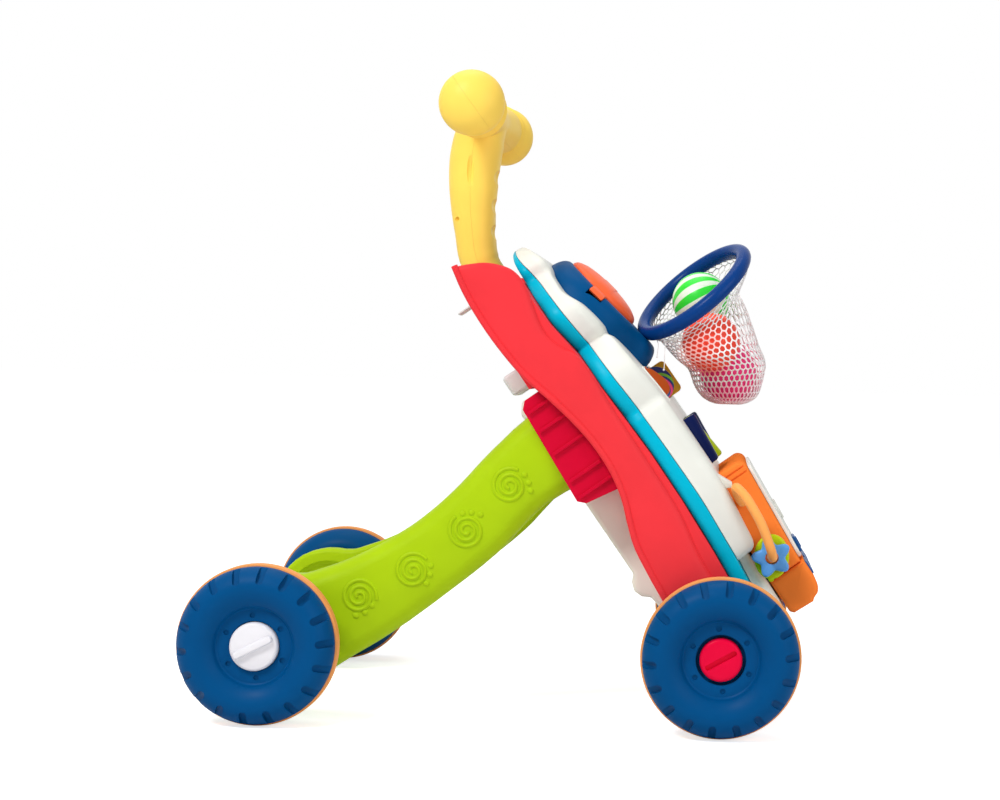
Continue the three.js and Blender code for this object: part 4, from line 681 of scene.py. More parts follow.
def leg_outer(outline):
    piece = plate("leg_outer_right_look", outline, LEG_SEAM + 0.15 * mm, LEG_OUTER, *LEG_FACE,
                  pitch=5 * mm)

    def lifted(points, depth):
        falls = [fall(d, *LEG_FACE) for d in from_outline(outline, points)]
        return [Vector((p.x, p.y, LEG_OUTER - low - depth)) for p, low in zip(points, falls)]

    extras = []
    for i, (centre, dot) in enumerate(SPIRALS):
        start = math.atan2(dot[1] - centre[1], dot[0] - centre[0]) + SPIRAL_LEAD
        path = []
        for k in range(int(SPIRAL_TURNS * SPIRAL_STEPS) + 1):
            angle = start + k / SPIRAL_STEPS * turn
            radius = SPIRAL_RADIUS - SPIRAL_PITCH * k / SPIRAL_STEPS
            path.append(on_leg(centre[0] + radius * math.cos(angle),
                               centre[1] + radius * math.sin(angle)))
        extras.append(rod(f"spiral_{i}", lifted(path, 0.3 * mm), 1.5 * mm, 12))
    spots = [on_leg(*dot) for dot in DOTS]
    for i, place in enumerate(lifted(spots, 0)):
        extras.append(ball(f"dot_{i}", DOT_RADIUS, place, DOT_SHAPE, 20))
    boss_place = TO_RIGHT.inverted() @ Matrix.Translation(REAR_AXLE)
    extras.append(settle(bar("leg_boss", *LEG_BOSS), boss_place))
    piece = merge(piece, *extras)
    return settle(piece, TO_RIGHT)


def leg_inner(outline):
    piece = plate("leg_inner_right_look", outline, -LEG_SEAM + 0.15 * mm, -LEG_INNER, 4 * mm, 0,
                  20 * mm)
    settle(piece, FACE_IN)
    floor = -LEG_INNER / mm - 5
    dish = turned("dish", [(r * mm, -(floor + rise) * mm) for r, rise in DISH])
    settle(dish, Matrix.Translation(REAR_AXLE))
    return carve(piece, [dish])


def add_legs():
    outline = outline_of("leg_outer_right", -98 * mm)
    crowded = [(p - outline[i - 1]).length < CROWDED for i, p in enumerate(outline)]
    outline = [p for p, close in zip(outline, crowded) if not close]
    outline = soft_outline(outline, 3, 180)
    for part, shape in (("outer", leg_outer(outline)), ("inner", leg_inner(outline))):
        left = other_side(shape, f"leg_{part}_left_look")
        dress(shape, "lime", "walker", [f"leg_{part}_right"])
        dress(left, "lime", "walker", [f"leg_{part}_left"])


add_legs()


# ---------- body ----------

CHEEK_INNER, CHEEK_OUTER = 118 * mm, 126 * mm
CHEEK_FACE = (3.5 * mm, 2.2 * mm, 16 * mm)  # rounding, rise and reach
CHEEK_TURN, CHEEK_FALL, CHEEK_REACH = 22 * mm, 3 * mm, 26 * mm  # the front edge falls away further
CHEEK_BOSS = (10 * mm, CHEEK_OUTER - 2 * mm, 138 * mm, 1 * mm)
CHEEK_SCALE, BEAD_INSET, BEAD_SINK, BEAD_RADIUS = (36, 350), 2.6, 1.6 * mm, 2.5 * mm
CHEEK_REAR = [(-0.13, 1.003), (-0.23, 0.95), (-0.29, 0.865), (-0.27, 0.79), (-0.2, 0.726),
              (0, 0.643), (0.12, 0.585), (0.2, 0.52), (0.18, 0.443), (0.07, 0.389), (-0.12, 0.337),
              (-0.26, 0.294), (-0.35, 0.23), (-0.42, 0.15)]


def add_cheeks():
    outline = soft_outline(outline_of("side_cheek_right", -121 * mm, BODY), 4)
    piece = plate("side_cheek_right_look", outline, CHEEK_INNER, CHEEK_OUTER, *CHEEK_FACE,
                  pitch=6 * mm)
    first = next(i for i, p in enumerate(outline) if outline[i - 1].x <= CHEEK_TURN < p.x)
    ahead = [p for p in outline[first:] + outline[:first] if p.x > CHEEK_TURN]
    verge = ahead + ahead[::-1]
    upper = [v for v in piece.data.vertices if v.co.z > CHEEK_INNER + TINY]
    for vertex, distance in zip(upper, from_outline(verge, [v.co for v in upper])):
        vertex.co.z -= CHEEK_FALL * (1 - min(distance / CHEEK_REACH, 1)) ** 2
    path = [Vector((CHEEK_SCALE[0] * u * mm, CHEEK_SCALE[1] * v * mm, 0)) for u, v in CHEEK_REAR]
    path = smooth(path, 8)
    bead = []
    for before, here, after in zip([path[0]] + path, path, path[1:] + [path[-1]]):
        along = (after - before).normalized()
        inset = Vector((-along.y, along.x, 0)) * BEAD_INSET * mm
        bead.append(here + inset + Vector((0, 0, CHEEK_OUTER - BEAD_SINK)))
    piece = merge(piece, rod("bead", bead, BEAD_RADIUS, 16))
    settle(piece, BODY @ TO_RIGHT)
    boss = settle(bar("cheek_boss", *CHEEK_BOSS), Matrix.Translation(FRONT_AXLE))
    piece = merge(piece, boss)
    left = other_side(piece, "side_cheek_left_look")
    dress(piece, "red", "walker", ["side_cheek_right"])
    dress(left, "red", "walker", ["side_cheek_left"])


add_cheeks()

for node, finish, size in (
        ("body_frame", "red", 1.2), ("rear_cover", "beige", 1.2), ("latch_button", "grey", 1),
        ("hanging_tab", "grey", 0.8), ("leg_collar_right", "collar", 0.9),
        ("leg_collar_left", "collar", 0.9)):
    body = "latch" if node == "latch_button" else "walker"
    dress(soften(copy_of(node, node + LOOK), size * mm), finish, body, [node])


# ---------- lofts ----------

def skin(name, rings):
    """A closed solid through rings of points, with flat ends."""
    count = len(rings[0])
    faces = [[k * count + i, k * count + (i + 1) % count, (k + 1) * count + (i + 1) % count,
              (k + 1) * count + i]
             for k in range(len(rings) - 1) for i in range(count)]
    faces += [list(range(count))[::-1], [(len(rings) - 1) * count + i for i in range(count)]]
    mesh = bpy.data.meshes.new(name)
    mesh.from_pydata([tuple(p) for ring in rings for p in ring], [], faces)
    piece = bpy.data.objects.new(name, mesh)
    bpy.context.scene.collection.objects.link(piece)
    pick(piece)
    edit()
    bpy.ops.mesh.remove_doubles(threshold=TINY / 10)
    outward()
    done()
    return piece


def super_ellipse(half_a, half_b, count, power):
    """An ellipse with squarer shoulders, as a power over 2 gives it."""
    points = []
    for i in range(count):
        angle = turn * i / count
        parts = [math.copysign(abs(part) ** (2 / power), part)
                 for part in (math.cos(angle), math.sin(angle))]
        points.append((half_a * parts[0], half_b * parts[1]))
    return points


# ---------- handle ----------

HANDLE_BASE = BODY @ (Vector((7, 0, 340.55)) * mm)  # where the stem enters its socket
HANDLE_RISE, HANDLE_BOW = 128 * mm, 17.8 * mm
BAR = HANDLE_BASE + Vector((-6.8 * mm, 0, HANDLE_RISE))
STEM_DEPTH, STEM_WIDTH = 15.9 * mm, 21 * mm
STEM_ROWS = [(0.4, 1.006, 1.0, 1.15), (0.79, 0.878, 1.28, 1.12), (0.95, 0.751, 1.3, 1.08),
             (1, 0.586, 1.24, 1.02), (0.972, 0.448, 1.14, 1), (0.854, 0.287, 1.03, 0.98),
             (0.585, 0.101, 0.98, 0.96)]
GRIP = [(15.5, 0), (15.5, 14), (15.8, 24), (17.6, 38), (19.5, 52), (20, 58.5)]
GRIP_END = [(20, 82), (19.9, 86)]
RIB_PITCH, RIB_HEIGHT, RIB_FIRST, RIB_COUNT, RIB_STEPS = 5.5, 2.1, 60, 4, 8
KNOB_RADIUS, KNOB_HALF, KNOB_PLACE = 25.2, 20, 102
STEM_POWER, SOCKET_TOP, SOCKET_DEPTHS, SOCKET_SHARE = 2.3, 340.55, (3, 49), 0.8
# share up, share back, depth
DENTS = [(0.634, 0.99, 1.255), (0.455, 0.972, 1.145), (0.291, 0.856, 1.03)]
DENT_RADIUS, DENT_SHAPE, DENT_OUT = 6.5 * mm, (0.66, 2.6, 1), 1 * mm
VALLEY_UP, VALLEY_DEPTH, VALLEY_SHAPE = 0.65, 2.4 * mm, (0.3, 1, 1.3)
SCREW_RADIUS, SCREW_PLACES = 1.9 * mm, (-34 * mm, 14 * mm)
SEAM_HALF_BAND = 25.5 * mm  # half the width over which the seam runs down the stem
VALLEY_RADIUS = 20 * mm
SEAM_TURN, SEAM_REACH, SEAM_GAP = 37 * degree, 40 * mm, 0.06 * mm


def on_stem(back, up):
    return Vector((HANDLE_BASE.x - HANDLE_BOW * back, HANDLE_BASE.z + HANDLE_RISE * up))


def in_socket(height):
    place = BODY @ (Vector((7, 0, height)) * mm)
    return Vector((place.x, place.z))


def stem():
    rows = [on_stem(back, up) for back, up, _, _ in STEM_ROWS]
    sizes = [Vector((STEM_DEPTH * depth, STEM_WIDTH * width)) for _, _, depth, width in STEM_ROWS]
    for depth in SOCKET_DEPTHS:
        rows.append(in_socket(SOCKET_TOP - depth))
        sizes.append(sizes[len(STEM_ROWS) - 1] * SOCKET_SHARE)
    rows = smooth(rows, 6)
    sizes = smooth(sizes, 6)
    rings = []
    for i, (place, size) in enumerate(zip(rows, sizes)):
        along = (rows[min(i + 1, len(rows) - 1)] - rows[max(i - 1, 0)]).normalized()
        ahead = Vector((-along.y, along.x))
        outline = super_ellipse(size.x, size.y, 56, STEM_POWER)
        rings.append([(place.x + ahead.x * a, b, place.y + ahead.y * a) for a, b in outline])
    return skin("stem", rings)


def handle_bar():
    half = [tuple(p) for p in smooth(in_mm(GRIP), 4)]
    for i in range(RIB_COUNT * RIB_STEPS):
        share = i / RIB_STEPS
        radius = GRIP[-1][0] + RIB_HEIGHT * math.sin(math.pi * (share % 1)) ** 2
        half.append((radius * mm, (RIB_FIRST + RIB_PITCH * share) * mm))
    half += in_mm(GRIP_END)
    for angle in range(-42, 90, 6):
        radius, out = KNOB_RADIUS * math.cos(angle * degree), KNOB_HALF * math.sin(angle * degree)
        half.append((radius * mm, (KNOB_PLACE + out) * mm))
    half.append((0, (KNOB_PLACE + KNOB_HALF) * mm))
    lower = [(radius, -out) for radius, out in half[1:]][::-1]
    return settle(turned("handle_bar", lower + half, 80), Matrix.Translation(BAR))


def seam_blocks(gap, far):
    """What lies to one side of the handle's seam, slanted at the grips and upright at the stem."""
    slant = Vector((-math.sin(SEAM_TURN), math.cos(SEAM_TURN)))
    middle = Vector((BAR.x, BAR.z))
    reach = abs(far)
    top, low = middle + slant * reach, middle - slant * SEAM_REACH
    grip = [(top.x + gap, top.y), (low.x + gap, low.y), (low.x + far, low.y), (top.x + far, top.y)]
    line = [Vector((BAR.x, BAR.z + reach)), middle]
    line += [on_stem(back, up) for back, up, _, _ in STEM_ROWS[1:]]
    line += [in_socket(334.5), in_socket(250)]
    stem_side = [(p.x + gap, p.y) for p in smooth(line, 3)]
    stem_side += [(BAR.x + far, stem_side[-1][1]), (BAR.x + far, stem_side[0][1])]
    half = SEAM_HALF_BAND
    bands = ((stem_side, -half - TINY, half + TINY), (grip, half, reach), (grip, -reach, -half))
    return [settle(slab("seam_block", outline, low_y, high_y), TO_RIGHT)
            for outline, low_y, high_y in bands]


def add_handle():
    whole = carve(stem(), [handle_bar()], "UNION")
    cutters = []
    for share, back, depth in DENTS:
        place = on_stem(back, share)
        ahead = place.x + STEM_DEPTH * depth + DENT_OUT
        cutters.append(ball("dent", DENT_RADIUS, (ahead, 0, place.y), DENT_SHAPE, 40))
    place = on_stem(1, VALLEY_UP)
    side = -STEM_WIDTH * 1.04 - VALLEY_RADIUS + VALLEY_DEPTH
    cutters.append(ball("valley", VALLEY_RADIUS, (place.x, side, place.y), VALLEY_SHAPE, 48))
    for y in SCREW_PLACES:
        hole = bar("screw_hole", SCREW_RADIUS, 0, 20 * mm, steps=24)
        place = HANDLE_BASE + Vector((-28, 20, 46)) * mm + Vector((0, y, 0))
        cutters.append(settle(hole, Matrix.Translation(place)))
    carve(whole, cutters)
    front = copied(whole, "handle_front_half_look")
    whole.name = "handle_rear_half_look"
    carve(whole, seam_blocks(-SEAM_GAP, 0.3))
    carve(front, seam_blocks(SEAM_GAP, -0.3))
    for half, node in ((front, "handle_front_half"), (whole, "handle_rear_half")):
        dress(half, "yellow", "walker", [node], 40)


add_handle()


# ---------- panel ----------

STATIONS = [(0, 0.03, 0.26, 0.56, 0.64, 0.78), (0.025, 0.03, 0.28, 0.59, 0.73, 0.86),
            (0.08, 0.06, 0.33, 0.6, 0.73, 0.92), (0.151, 0.115, 0.4, 0.6, 0.73, 0.95),
            (0.156, 0.12, 0.405, 0.72, 0.88, 0.95), (0.167, 0.125, 0.415, 0.81, 0.93, 0.95),
            (0.2, 0.15, 0.435, 0.85, 0.95, 0.96), (0.33, 0.205, 0.5, 0.965, 0.99, 0.99),
            (0.45, 0.215, 0.49, 0.97, 0.99, 0.99), (0.522, 0.19, 0.47, 0.965, 0.975, 0.975),
            (0.541, 0.18, 0.465, 0.955, 0.94, 0.94), (0.56, 0.175, 0.46, 0.945, 0.96, 0.96),
            (0.62, 0.155, 0.43, 0.89, 1, 1), (0.677, 0.145, 0.4, 0.83, 0.93, 0.93),
            (0.708, 0.13, 0.38, 0.78, 0.84, 0.84), (0.721, 0.115, 0.37, 0.72, 0.8, 0.8),
            (0.737, 0.1, 0.355, 0.75, 0.84, 0.84), (0.798, 0.03, 0.31, 0.67, 0.9, 0.9),
            (0.855, 0.015, 0.27, 0.49, 0.8, 0.8), (0.891, 0, 0.24, 0.485, 0.66, 0.66),
            (0.911, 0.005, 0.21, 0.52, 0.6, 0.6), (0.928, 0.015, 0.19, 0.52, 0.61, 0.61),
            (0.959, 0.025, 0.14, 0.44, 0.55, 0.55), (0.982, 0.055, 0.125, 0.355, 0.41, 0.41),
            (0.994, 0.09, 0.13, 0.275, 0.26, 0.26), (1, 0.11, 0.14, 0.22, 0.12, 0.12)]
FOOT, LENGTH, STAND_OFF, DEPTH, HALF_WIDTH = -8, 354.5, 31, 42, 117.5
PANEL_EDGE, RIM_BULGE, STATION_STEP = 9, 7, 0.007
TO_FRONT = Matrix(((0, 0, 1, 0), (1, 0, 0, 0), (0, 1, 0, 0), (0, 0, 0, 1)))
TILE_U, TILE_V, TILE_PITCH, TILE_HALF, TILE_THICK = 68.5, 193.5, 34, 14.8, 3.4
ROLLER_U, ROLLER_V, ROLLER_HALF = 68.5, 137.2, 20.5
WINDOW_HALF, WINDOW_CORNER = 52.8, 3


def slopes(xs, ys):
    """Slopes of a curve that never swings past its own points."""
    steps = [(b - a) / (d - c) for a, b, c, d in zip(ys, ys[1:], xs, xs[1:])]
    inner = [2 * a * b / (a + b) if a * b > 0 else 0 for a, b in zip(steps, steps[1:])]
    return [steps[0], *inner, steps[-1]]


STATION_COLUMNS = [list(column) for column in zip(*STATIONS)]
STATION_SLOPES = [slopes(STATION_COLUMNS[0], column) for column in STATION_COLUMNS[1:]]


def station(along):
    """Back, seam and face of the panel, and its half widths at the face and the rim, in mm."""
    xs = STATION_COLUMNS[0]
    k = max(i for i in range(len(xs) - 1) if xs[i] <= along)
    span = xs[k + 1] - xs[k]
    t = (along - xs[k]) / span
    values = []
    for column, slope in zip(STATION_COLUMNS[1:], STATION_SLOPES):
        values.append(eased(column[k], slope[k] * span, column[k + 1], slope[k + 1] * span, t))
    back, seam, face, half, rim = values
    depths = [STAND_OFF + DEPTH * out for out in (back, seam, face)]
    return depths + [HALF_WIDTH * half, HALF_WIDTH * rim]


def panel_places():
    xs = STATION_COLUMNS[0]
    places = set(xs)
    for a, b in zip(xs, xs[1:]):
        parts = max(3, int((b - a) / STATION_STEP))
        places.update(a + (b - a) * i / parts for i in range(parts))
    return sorted(places)


def panel_loft(name, side_points):
    """Rings across the panel, from the side's outline at each place along it."""
    rings = []
    for along in panel_places():
        half = side_points(*station(along))
        v = FOOT + LENGTH * along
        ring = [(u, y, v) for u, y in half] + [(u, -y, v) for u, y in reversed(half)]
        rings.append([Vector(p) * mm for p in ring])
    return skin(name, rings)


def rim_side(back, seam, face, half, rim):
    """The rim's side, with a round back edge and a fine gap before the seam."""
    front = seam - 0.3
    bulge = min((front - back) * 0.55, RIM_BULGE)
    arc = []
    for angle in (a * turn / 24 for a in range(6, -1, -1)):
        arc.append((back + bulge * (1 - math.sin(angle)),
                    rim - bulge * (1 - math.cos(angle)) * 0.75))
    gap = [(seam - 1.2, rim + 0.1), (seam - 0.5, rim - 0.25), (front, rim - 1), (front, rim * 0.5)]
    return [(back, rim * 0.5)] + arc + gap


def face_side(back, seam, face, half, rim):
    """The white shell's side, from the seam round its soft edge to the middle of the face."""
    edge = min(PANEL_EDGE, (face - seam) * 0.8)
    arc = []
    for angle in (a * turn / 32 for a in range(9)):
        arc.append((face - edge + edge * math.sin(angle),
                    half - edge + (edge - 1) * math.cos(angle)))
    seam_lip = [(seam, half * 0.5), (seam, half - 0.8), (seam + 0.5, half - 0.1)]
    return seam_lip + arc + [(face, half * 0.62), (face, half * 0.3), (face, 1)]


def pocket(name, low, high, floor):
    middle, half = (low + high) / 2, (high - low) / 2
    outline = in_mm(round_rectangle(0, middle, WINDOW_HALF, half, WINDOW_CORNER))
    return settle(slab(name, outline, floor * mm, 110 * mm, low_edge=1.5 * mm), BODY @ TO_FRONT)


GAP, FLOOR_GAP, ROLLER_RADIUS = 0.5, 1.2, 13
TILE_WINDOW = (TILE_V - TILE_HALF - GAP, TILE_V + TILE_HALF + GAP,
               TILE_U - TILE_HALF - 0.85 - FLOOR_GAP)
ROLLER_WINDOW = (ROLLER_V - ROLLER_HALF - GAP, ROLLER_V + ROLLER_HALF + GAP,
                 ROLLER_U - ROLLER_RADIUS - FLOOR_GAP)
WEDGE_SIDE = [(0.338, 0.9), (0.337, 0.955), (0.3, 1.1), (0.29, 1.06), (0.3, 0.9)]
LIP_WIDTH, LIP_HEIGHT, UNIT_ROOM, HOUSING_GAP = 2, 0.9, 78.4 * mm, 0.35
UNIT_SIDE = [(58, 16.7), (86.14, 16.7), (92.87, 97.04), (93.4, 101.6), (92.34, 105.7),
             (89.86, 107.1), (58, 108)]
HOUSING_SIDE = [(0, 1.09), (0.4, 1.02), (0.72, 0.83), (0.93, 0.5), (1, 0.12), (0.95, -0.2),
                (0.78, -0.44), (0.62, -0.57), (0.52, -0.72), (0.45, -0.86), (0.3, -0.96), (0, -1)]
HOUSING_HALF_WIDTH, HOUSING_HALF_HEIGHT, HOUSING_DEPTH = 56, 54, 20.8
HOUSING_RINGS = [(0, 1, 1), (0.2, 0.99, 0.998), (0.43, 0.972, 0.99), (0.58, 0.952, 0.973),
                 (0.7, 0.93, 0.955), (0.81, 0.9, 0.932), (0.89, 0.866, 0.908), (0.95, 0.83, 0.88),
                 (0.985, 0.795, 0.857), (1, 0.76, 0.83)]


def housing_body(grow=0.0):
    half = [Vector((side * HOUSING_HALF_WIDTH, up * HOUSING_HALF_HEIGHT))
            for side, up in HOUSING_SIDE]
    outline = smooth(half + [Vector((-p.x, p.y)) for p in reversed(half[1:-1])], 6, closed=True,
                     corner=120)
    rings = []
    for height, side, up in ([(-0.4, 1, 1)] if grow else []) + HOUSING_RINGS:
        out = height * (HOUSING_DEPTH + grow)
        spots = [Vector((p.x * side, p.y * up)) for p in outline]
        spots = [p + p.normalized() * grow for p in spots]
        rings.append([Vector((out, p.x, p.y)) * mm for p in spots])
    return settle(skin("dome_housing_look", rings), HOUSING)


def windows_cutters():
    return [pocket("tile_pocket", *TILE_WINDOW), pocket("roller_pocket", *ROLLER_WINDOW)]


def add_panel():
    rim = settle(panel_loft("panel_rim_look", rim_side), BODY)
    dress(rim, "teal", "walker", ["panel_rim"], 40)

    shell = settle(panel_loft("panel_shell_look", face_side), BODY)
    low, high = TILE_WINDOW[0] - LIP_WIDTH, TILE_WINDOW[1] + LIP_WIDTH
    ledge = [(station((v - FOOT) / LENGTH)[2] + LIP_HEIGHT, v)
             for v in (low, (low + high) / 2, high)]
    outline = in_mm(ledge + [(u - 5, v) for u, v in reversed(ledge)])
    half = (WINDOW_HALF + LIP_WIDTH) * mm
    lip = slab("lip", outline, -half, half, 0.5 * mm, 0.5 * mm, 2)
    outline = in_mm([(STAND_OFF + out * DEPTH, FOOT + along * LENGTH) for along, out in WEDGE_SIDE])
    wedge = slab("wedge", outline, 86 * mm, 100 * mm, 0.8 * mm, 0.8 * mm, 2)
    carve(shell, [settle(extra, BODY @ TO_RIGHT) for extra in (lip, wedge)], "UNION")
    unit = [Vector(p) * mm for p in UNIT_SIDE]
    middle = sum(unit, Vector((0, 0))) / len(unit)
    outline = [p + (p - middle).normalized() * GAP * mm for p in unit]
    unit_cut = settle(slab("unit", outline, -UNIT_ROOM, UNIT_ROOM), BODY @ TO_RIGHT)
    carve(shell, [*windows_cutters(), unit_cut, housing_body(HOUSING_GAP)])
    dress(shell, "white", "walker", ["panel_shell"], 40)


add_panel()


# ---------- dome ----------

DOME_UP, DOME_RADIUS, DOME_HEIGHT = 13.1, 34.3, 10
DOME_PROFILE = [(1, 0), (1, 0.12), (0.984, 0.24), (0.93, 0.45), (0.82, 0.63), (0.7, 0.77),
                (0.53, 0.88), (0.36, 0.95), (0.18, 0.985), (0, 0.99)]
TAB_TOP = [(24, 21.4), (31.5, 22.2), (39, 22), (44, 21.5), (47.4, 20.4), (49.8, 18.8), (50.8, 17.4)]
TAB_LOW = [(45.8, 17.9), (43, 18.7), (38.6, 19.3), (31.5, 19.5), (24, 18.6)]
TAB_HALF, TAB_GAP, DOME_BAND_HALF, DOME_BAND_UP = 6.6, 0.5, 6.2, 0.45
HOOP_SWING = 25 * degree  # furthest turn of the hoop towards the dome
SWEEP_RADIUS = 56.9 * mm  # a ball that holds the turning hoop
TAB_SINK = 5  # room in mm under each tab for the dome's travel
STANDING = Matrix.Rotation(turn / 4, 4, "Z")  # turns -Y, the way out of a turned piece, to +X


def tab_shape(grow=0.0, sink=0.0):
    """The left tab, or with grow and sink the well that it moves in."""
    low = [(TAB_TOP[-1][0] if sink else 48.4, 16.2)] + TAB_LOW
    outline = [(out + grow * (out > 45), up + grow) for out, up in TAB_TOP]
    outline += [(out + grow * (out > 47), up - grow - sink) for out, up in low]
    half = TAB_HALF + grow
    outline = [Vector(p) * mm for p in outline][::-1]
    edge = 0 if grow else 1 * mm
    piece = slab("dome_tab", outline, -half * mm, half * mm, edge, edge, 3)
    lay = Matrix(((0, 1, 0, 0), (1, 0, 0, 0), (0, 0, 1, DOME_UP * mm), (0, 0, 0, 1)))
    return settle(piece, lay)


def both_tabs(grow=0.0, sink=0.0):
    left = tab_shape(grow, sink)
    return [left, other_side(left, "dome_tab_right")]


def add_dome():
    floor = HOUSING_DEPTH - 7
    well = in_mm([(0, floor - 12), (5.5, floor - 12), (5.5, floor), (34.6, floor), (34.6, 20),
                  (35.3, 21.4), (35.5, 40), (0, 40)])
    lift = Matrix.Translation((0, 0, DOME_UP * mm))
    cutters = [settle(turned("well", well, 96), HOUSING @ lift @ STANDING)]
    cutters += [settle(tab, HOUSING) for tab in both_tabs(TAB_GAP, TAB_SINK)]
    cutters.append(settle(ball("sweep", SWEEP_RADIUS, segments=96), HOOP))
    pin_hole = bar("pin_hole", 4.3 * mm, 50 * mm, 66 * mm, steps=32)
    settle(pin_hole, HOOP @ Matrix.Rotation(-turn / 4, 4, "Z"))
    housing = carve(housing_body(), cutters + [pin_hole] + windows_cutters())
    dress(housing, "navy", "walker", ["dome_housing"], 40)

    base = HOUSING_DEPTH - 3.6
    profile = [(0, floor - 6), (5, floor - 6), (5, base), (DOME_RADIUS, base)]
    profile += [(r * DOME_RADIUS, HOUSING_DEPTH + h * DOME_HEIGHT)
                for r, h in smooth([Vector(p) for p in DOME_PROFILE], 3)]
    dome = settle(turned("dome_button_look", in_mm(profile), 96), lift @ STANDING)
    raised = [(0, HOUSING_DEPTH)]
    raised += [(r * (DOME_RADIUS - 0.1), HOUSING_DEPTH + h * (DOME_HEIGHT + DOME_BAND_UP))
               for r, h in DOME_PROFILE]
    band = settle(turned("dome_band", in_mm(raised), 96), lift @ STANDING)
    strip = in_mm([(15, -DOME_BAND_HALF), (45, -DOME_BAND_HALF), (45, DOME_BAND_HALF),
                   (15, DOME_BAND_HALF)])
    carve(band, [settle(slab("strip", strip, -60 * mm, 60 * mm), lift @ TO_RIGHT)], "INTERSECT")
    carve(dome, [band, *both_tabs()], "UNION")
    settle(dome, HOUSING)
    clear()
    bpy.ops.mesh.primitive_torus_add(major_radius=50.4 * mm, minor_radius=6.5 * mm,
                                     major_segments=112, minor_segments=32)
    swung = settle(bpy.context.object, HOOP @ Matrix.Rotation(HOOP_SWING, 4, "X"))
    carve(dome, [swung])
    dress(dome, "coral", "dome", ["dome_button"], 40)


add_dome()


# ---------- hoop, net and balls ----------

HOOP_RADIUS, HOOP_TUBE = 50.4, 6
HOOP_CENTRE = HOOP.translation
BALL_RADIUS = 23.5
BALL_PLACES = {"green": (0.24, 0.54, -0.285), "orange": (0.648, -0.7, -1.724),
               "pink": (1.27, 0.86, -2.79)}
NET_REACH, NET_DROP = 48, 91
NET_ROWS = [(0.1, 0, 0.19, 0.79, 0.95, 1), (0.26, -0.08, 0.35, 0.74, 0.86, 0.76),
            (0.43, -0.12, 0.52, 0.69, 0.8, 0.42), (0.61, 0.18, 0.68, 0.65, 0.74, 0.16),
            (0.63, 0.38, 0.82, 0.58, 0.52, 0.1), (0.66, 0.42, 0.94, 0.46, 0.36, 0.04),
            (0.65, 0.37, 1, 0.16, 0.17, 0)]
NET_AROUND, NET_DOWN = 42, 21
NET_CLEAR = 0.6  # between a ball and the thread
NET_MOUTH = [(4.5, 3.6), (8, 1.5)]  # how far under the hoop and inside it the bag starts, in mm
NET_FINE, NET_WIDER = 0.36, 0.22  # thread near the hoop, and how much more below, in mm
HOLE_SHARE = 0.36  # a hole's shoulder as a share of a row
THREAD_THICK = 0.55 * mm
PIN_RADIUS, PIN_END = 4, 9


def ball_place(name):
    return HOOP_CENTRE + Vector(BALL_PLACES[name]) * BALL_RADIUS * mm


def add_hoop_ring():
    clear()
    bpy.ops.mesh.primitive_torus_add(major_radius=HOOP_RADIUS * mm, minor_radius=HOOP_TUBE * mm,
                                     major_segments=112, minor_segments=32)
    ring = bpy.context.object
    ring.name = "hoop_ring_look"
    reach = HOOP_RADIUS + HOOP_TUBE + PIN_END
    pin = bar("pin", PIN_RADIUS * mm, HOOP_RADIUS * mm, reach * mm, 0.8 * mm)
    carve(ring, [settle(pin, Matrix.Rotation(-turn / 4, 4, "Z"))], "UNION")
    settle(ring, HOOP)
    dress(ring, "hoop", "hoop", ["hoop_ring"], 40)


STRIPES, STRIPE_POLE = 11, Vector((0.85, -0.12, 0.5))


def striped():
    """Green ball with pale stripes that run from pole to pole."""
    nodes = Nodes("ball_green")
    middle = ball_place("green")
    pole = STRIPE_POLE.normalized().to_track_quat("Z", "Y").to_matrix().to_4x4()
    turned_to = pole.inverted() @ Matrix.Translation(-middle)
    spot = nodes.place()
    lay = {"Vector": spot, "Location": turned_to.translation, "Rotation": turned_to.to_euler()}
    local = nodes.add("ShaderNodeMapping", lay).outputs["Vector"]
    parts = nodes.add("ShaderNodeSeparateXYZ", {"Vector": local})
    angle = nodes.maths("ARCTAN2", parts.outputs["Y"], parts.outputs["X"])
    wobble = nodes.maths("MULTIPLY", nodes.noise(spot, 120), 0.25)
    wave = nodes.maths("SINE", nodes.maths("ADD", nodes.maths("MULTIPLY", angle, STRIPES), wobble))
    stripe = nodes.ranged(wave, 0, 1, -0.22, 0.02)
    nodes.set("Base Color", nodes.mixed(stripe, linear("#eafbe6"), linear("#2ee53a")))
    nodes.set("Roughness", nodes.ranged(nodes.noise(spot, GLOSS_SCALE), 0.25, 0.34))
    nodes.set("Specular IOR Level", 0.35)
    nodes.rough(stripe, 0.15)
    return nodes.material


SEAM_STEPS = [0, 0.5, 1] + list(range(4, 91, 4)) + [90]
SEAM_DEPTH = 0.2
SEAM_LEAN = {"green": 60, "orange": 25, "pink": 70}


def add_balls():
    for name, finish in (("green", striped()), ("orange", "ball"), ("pink", "pink")):
        half = [(BALL_RADIUS * math.cos(a * degree), BALL_RADIUS * math.sin(a * degree))
                for a in SEAM_STEPS]
        half[0] = (BALL_RADIUS - SEAM_DEPTH, 0)
        profile = [(r, -out) for r, out in half[:0:-1]] + half
        piece = turned(f"ball_{name}_look", in_mm(profile), 96)
        settle(piece, Matrix.Translation(ball_place(name))
               @ Matrix.Rotation(SEAM_LEAN[name] * degree, 4, "X"))
        dress(piece, finish, "top_ball" if name == "green" else "hoop", [f"ball_{name}"], 60)


THREAD_GRAIN = 2500


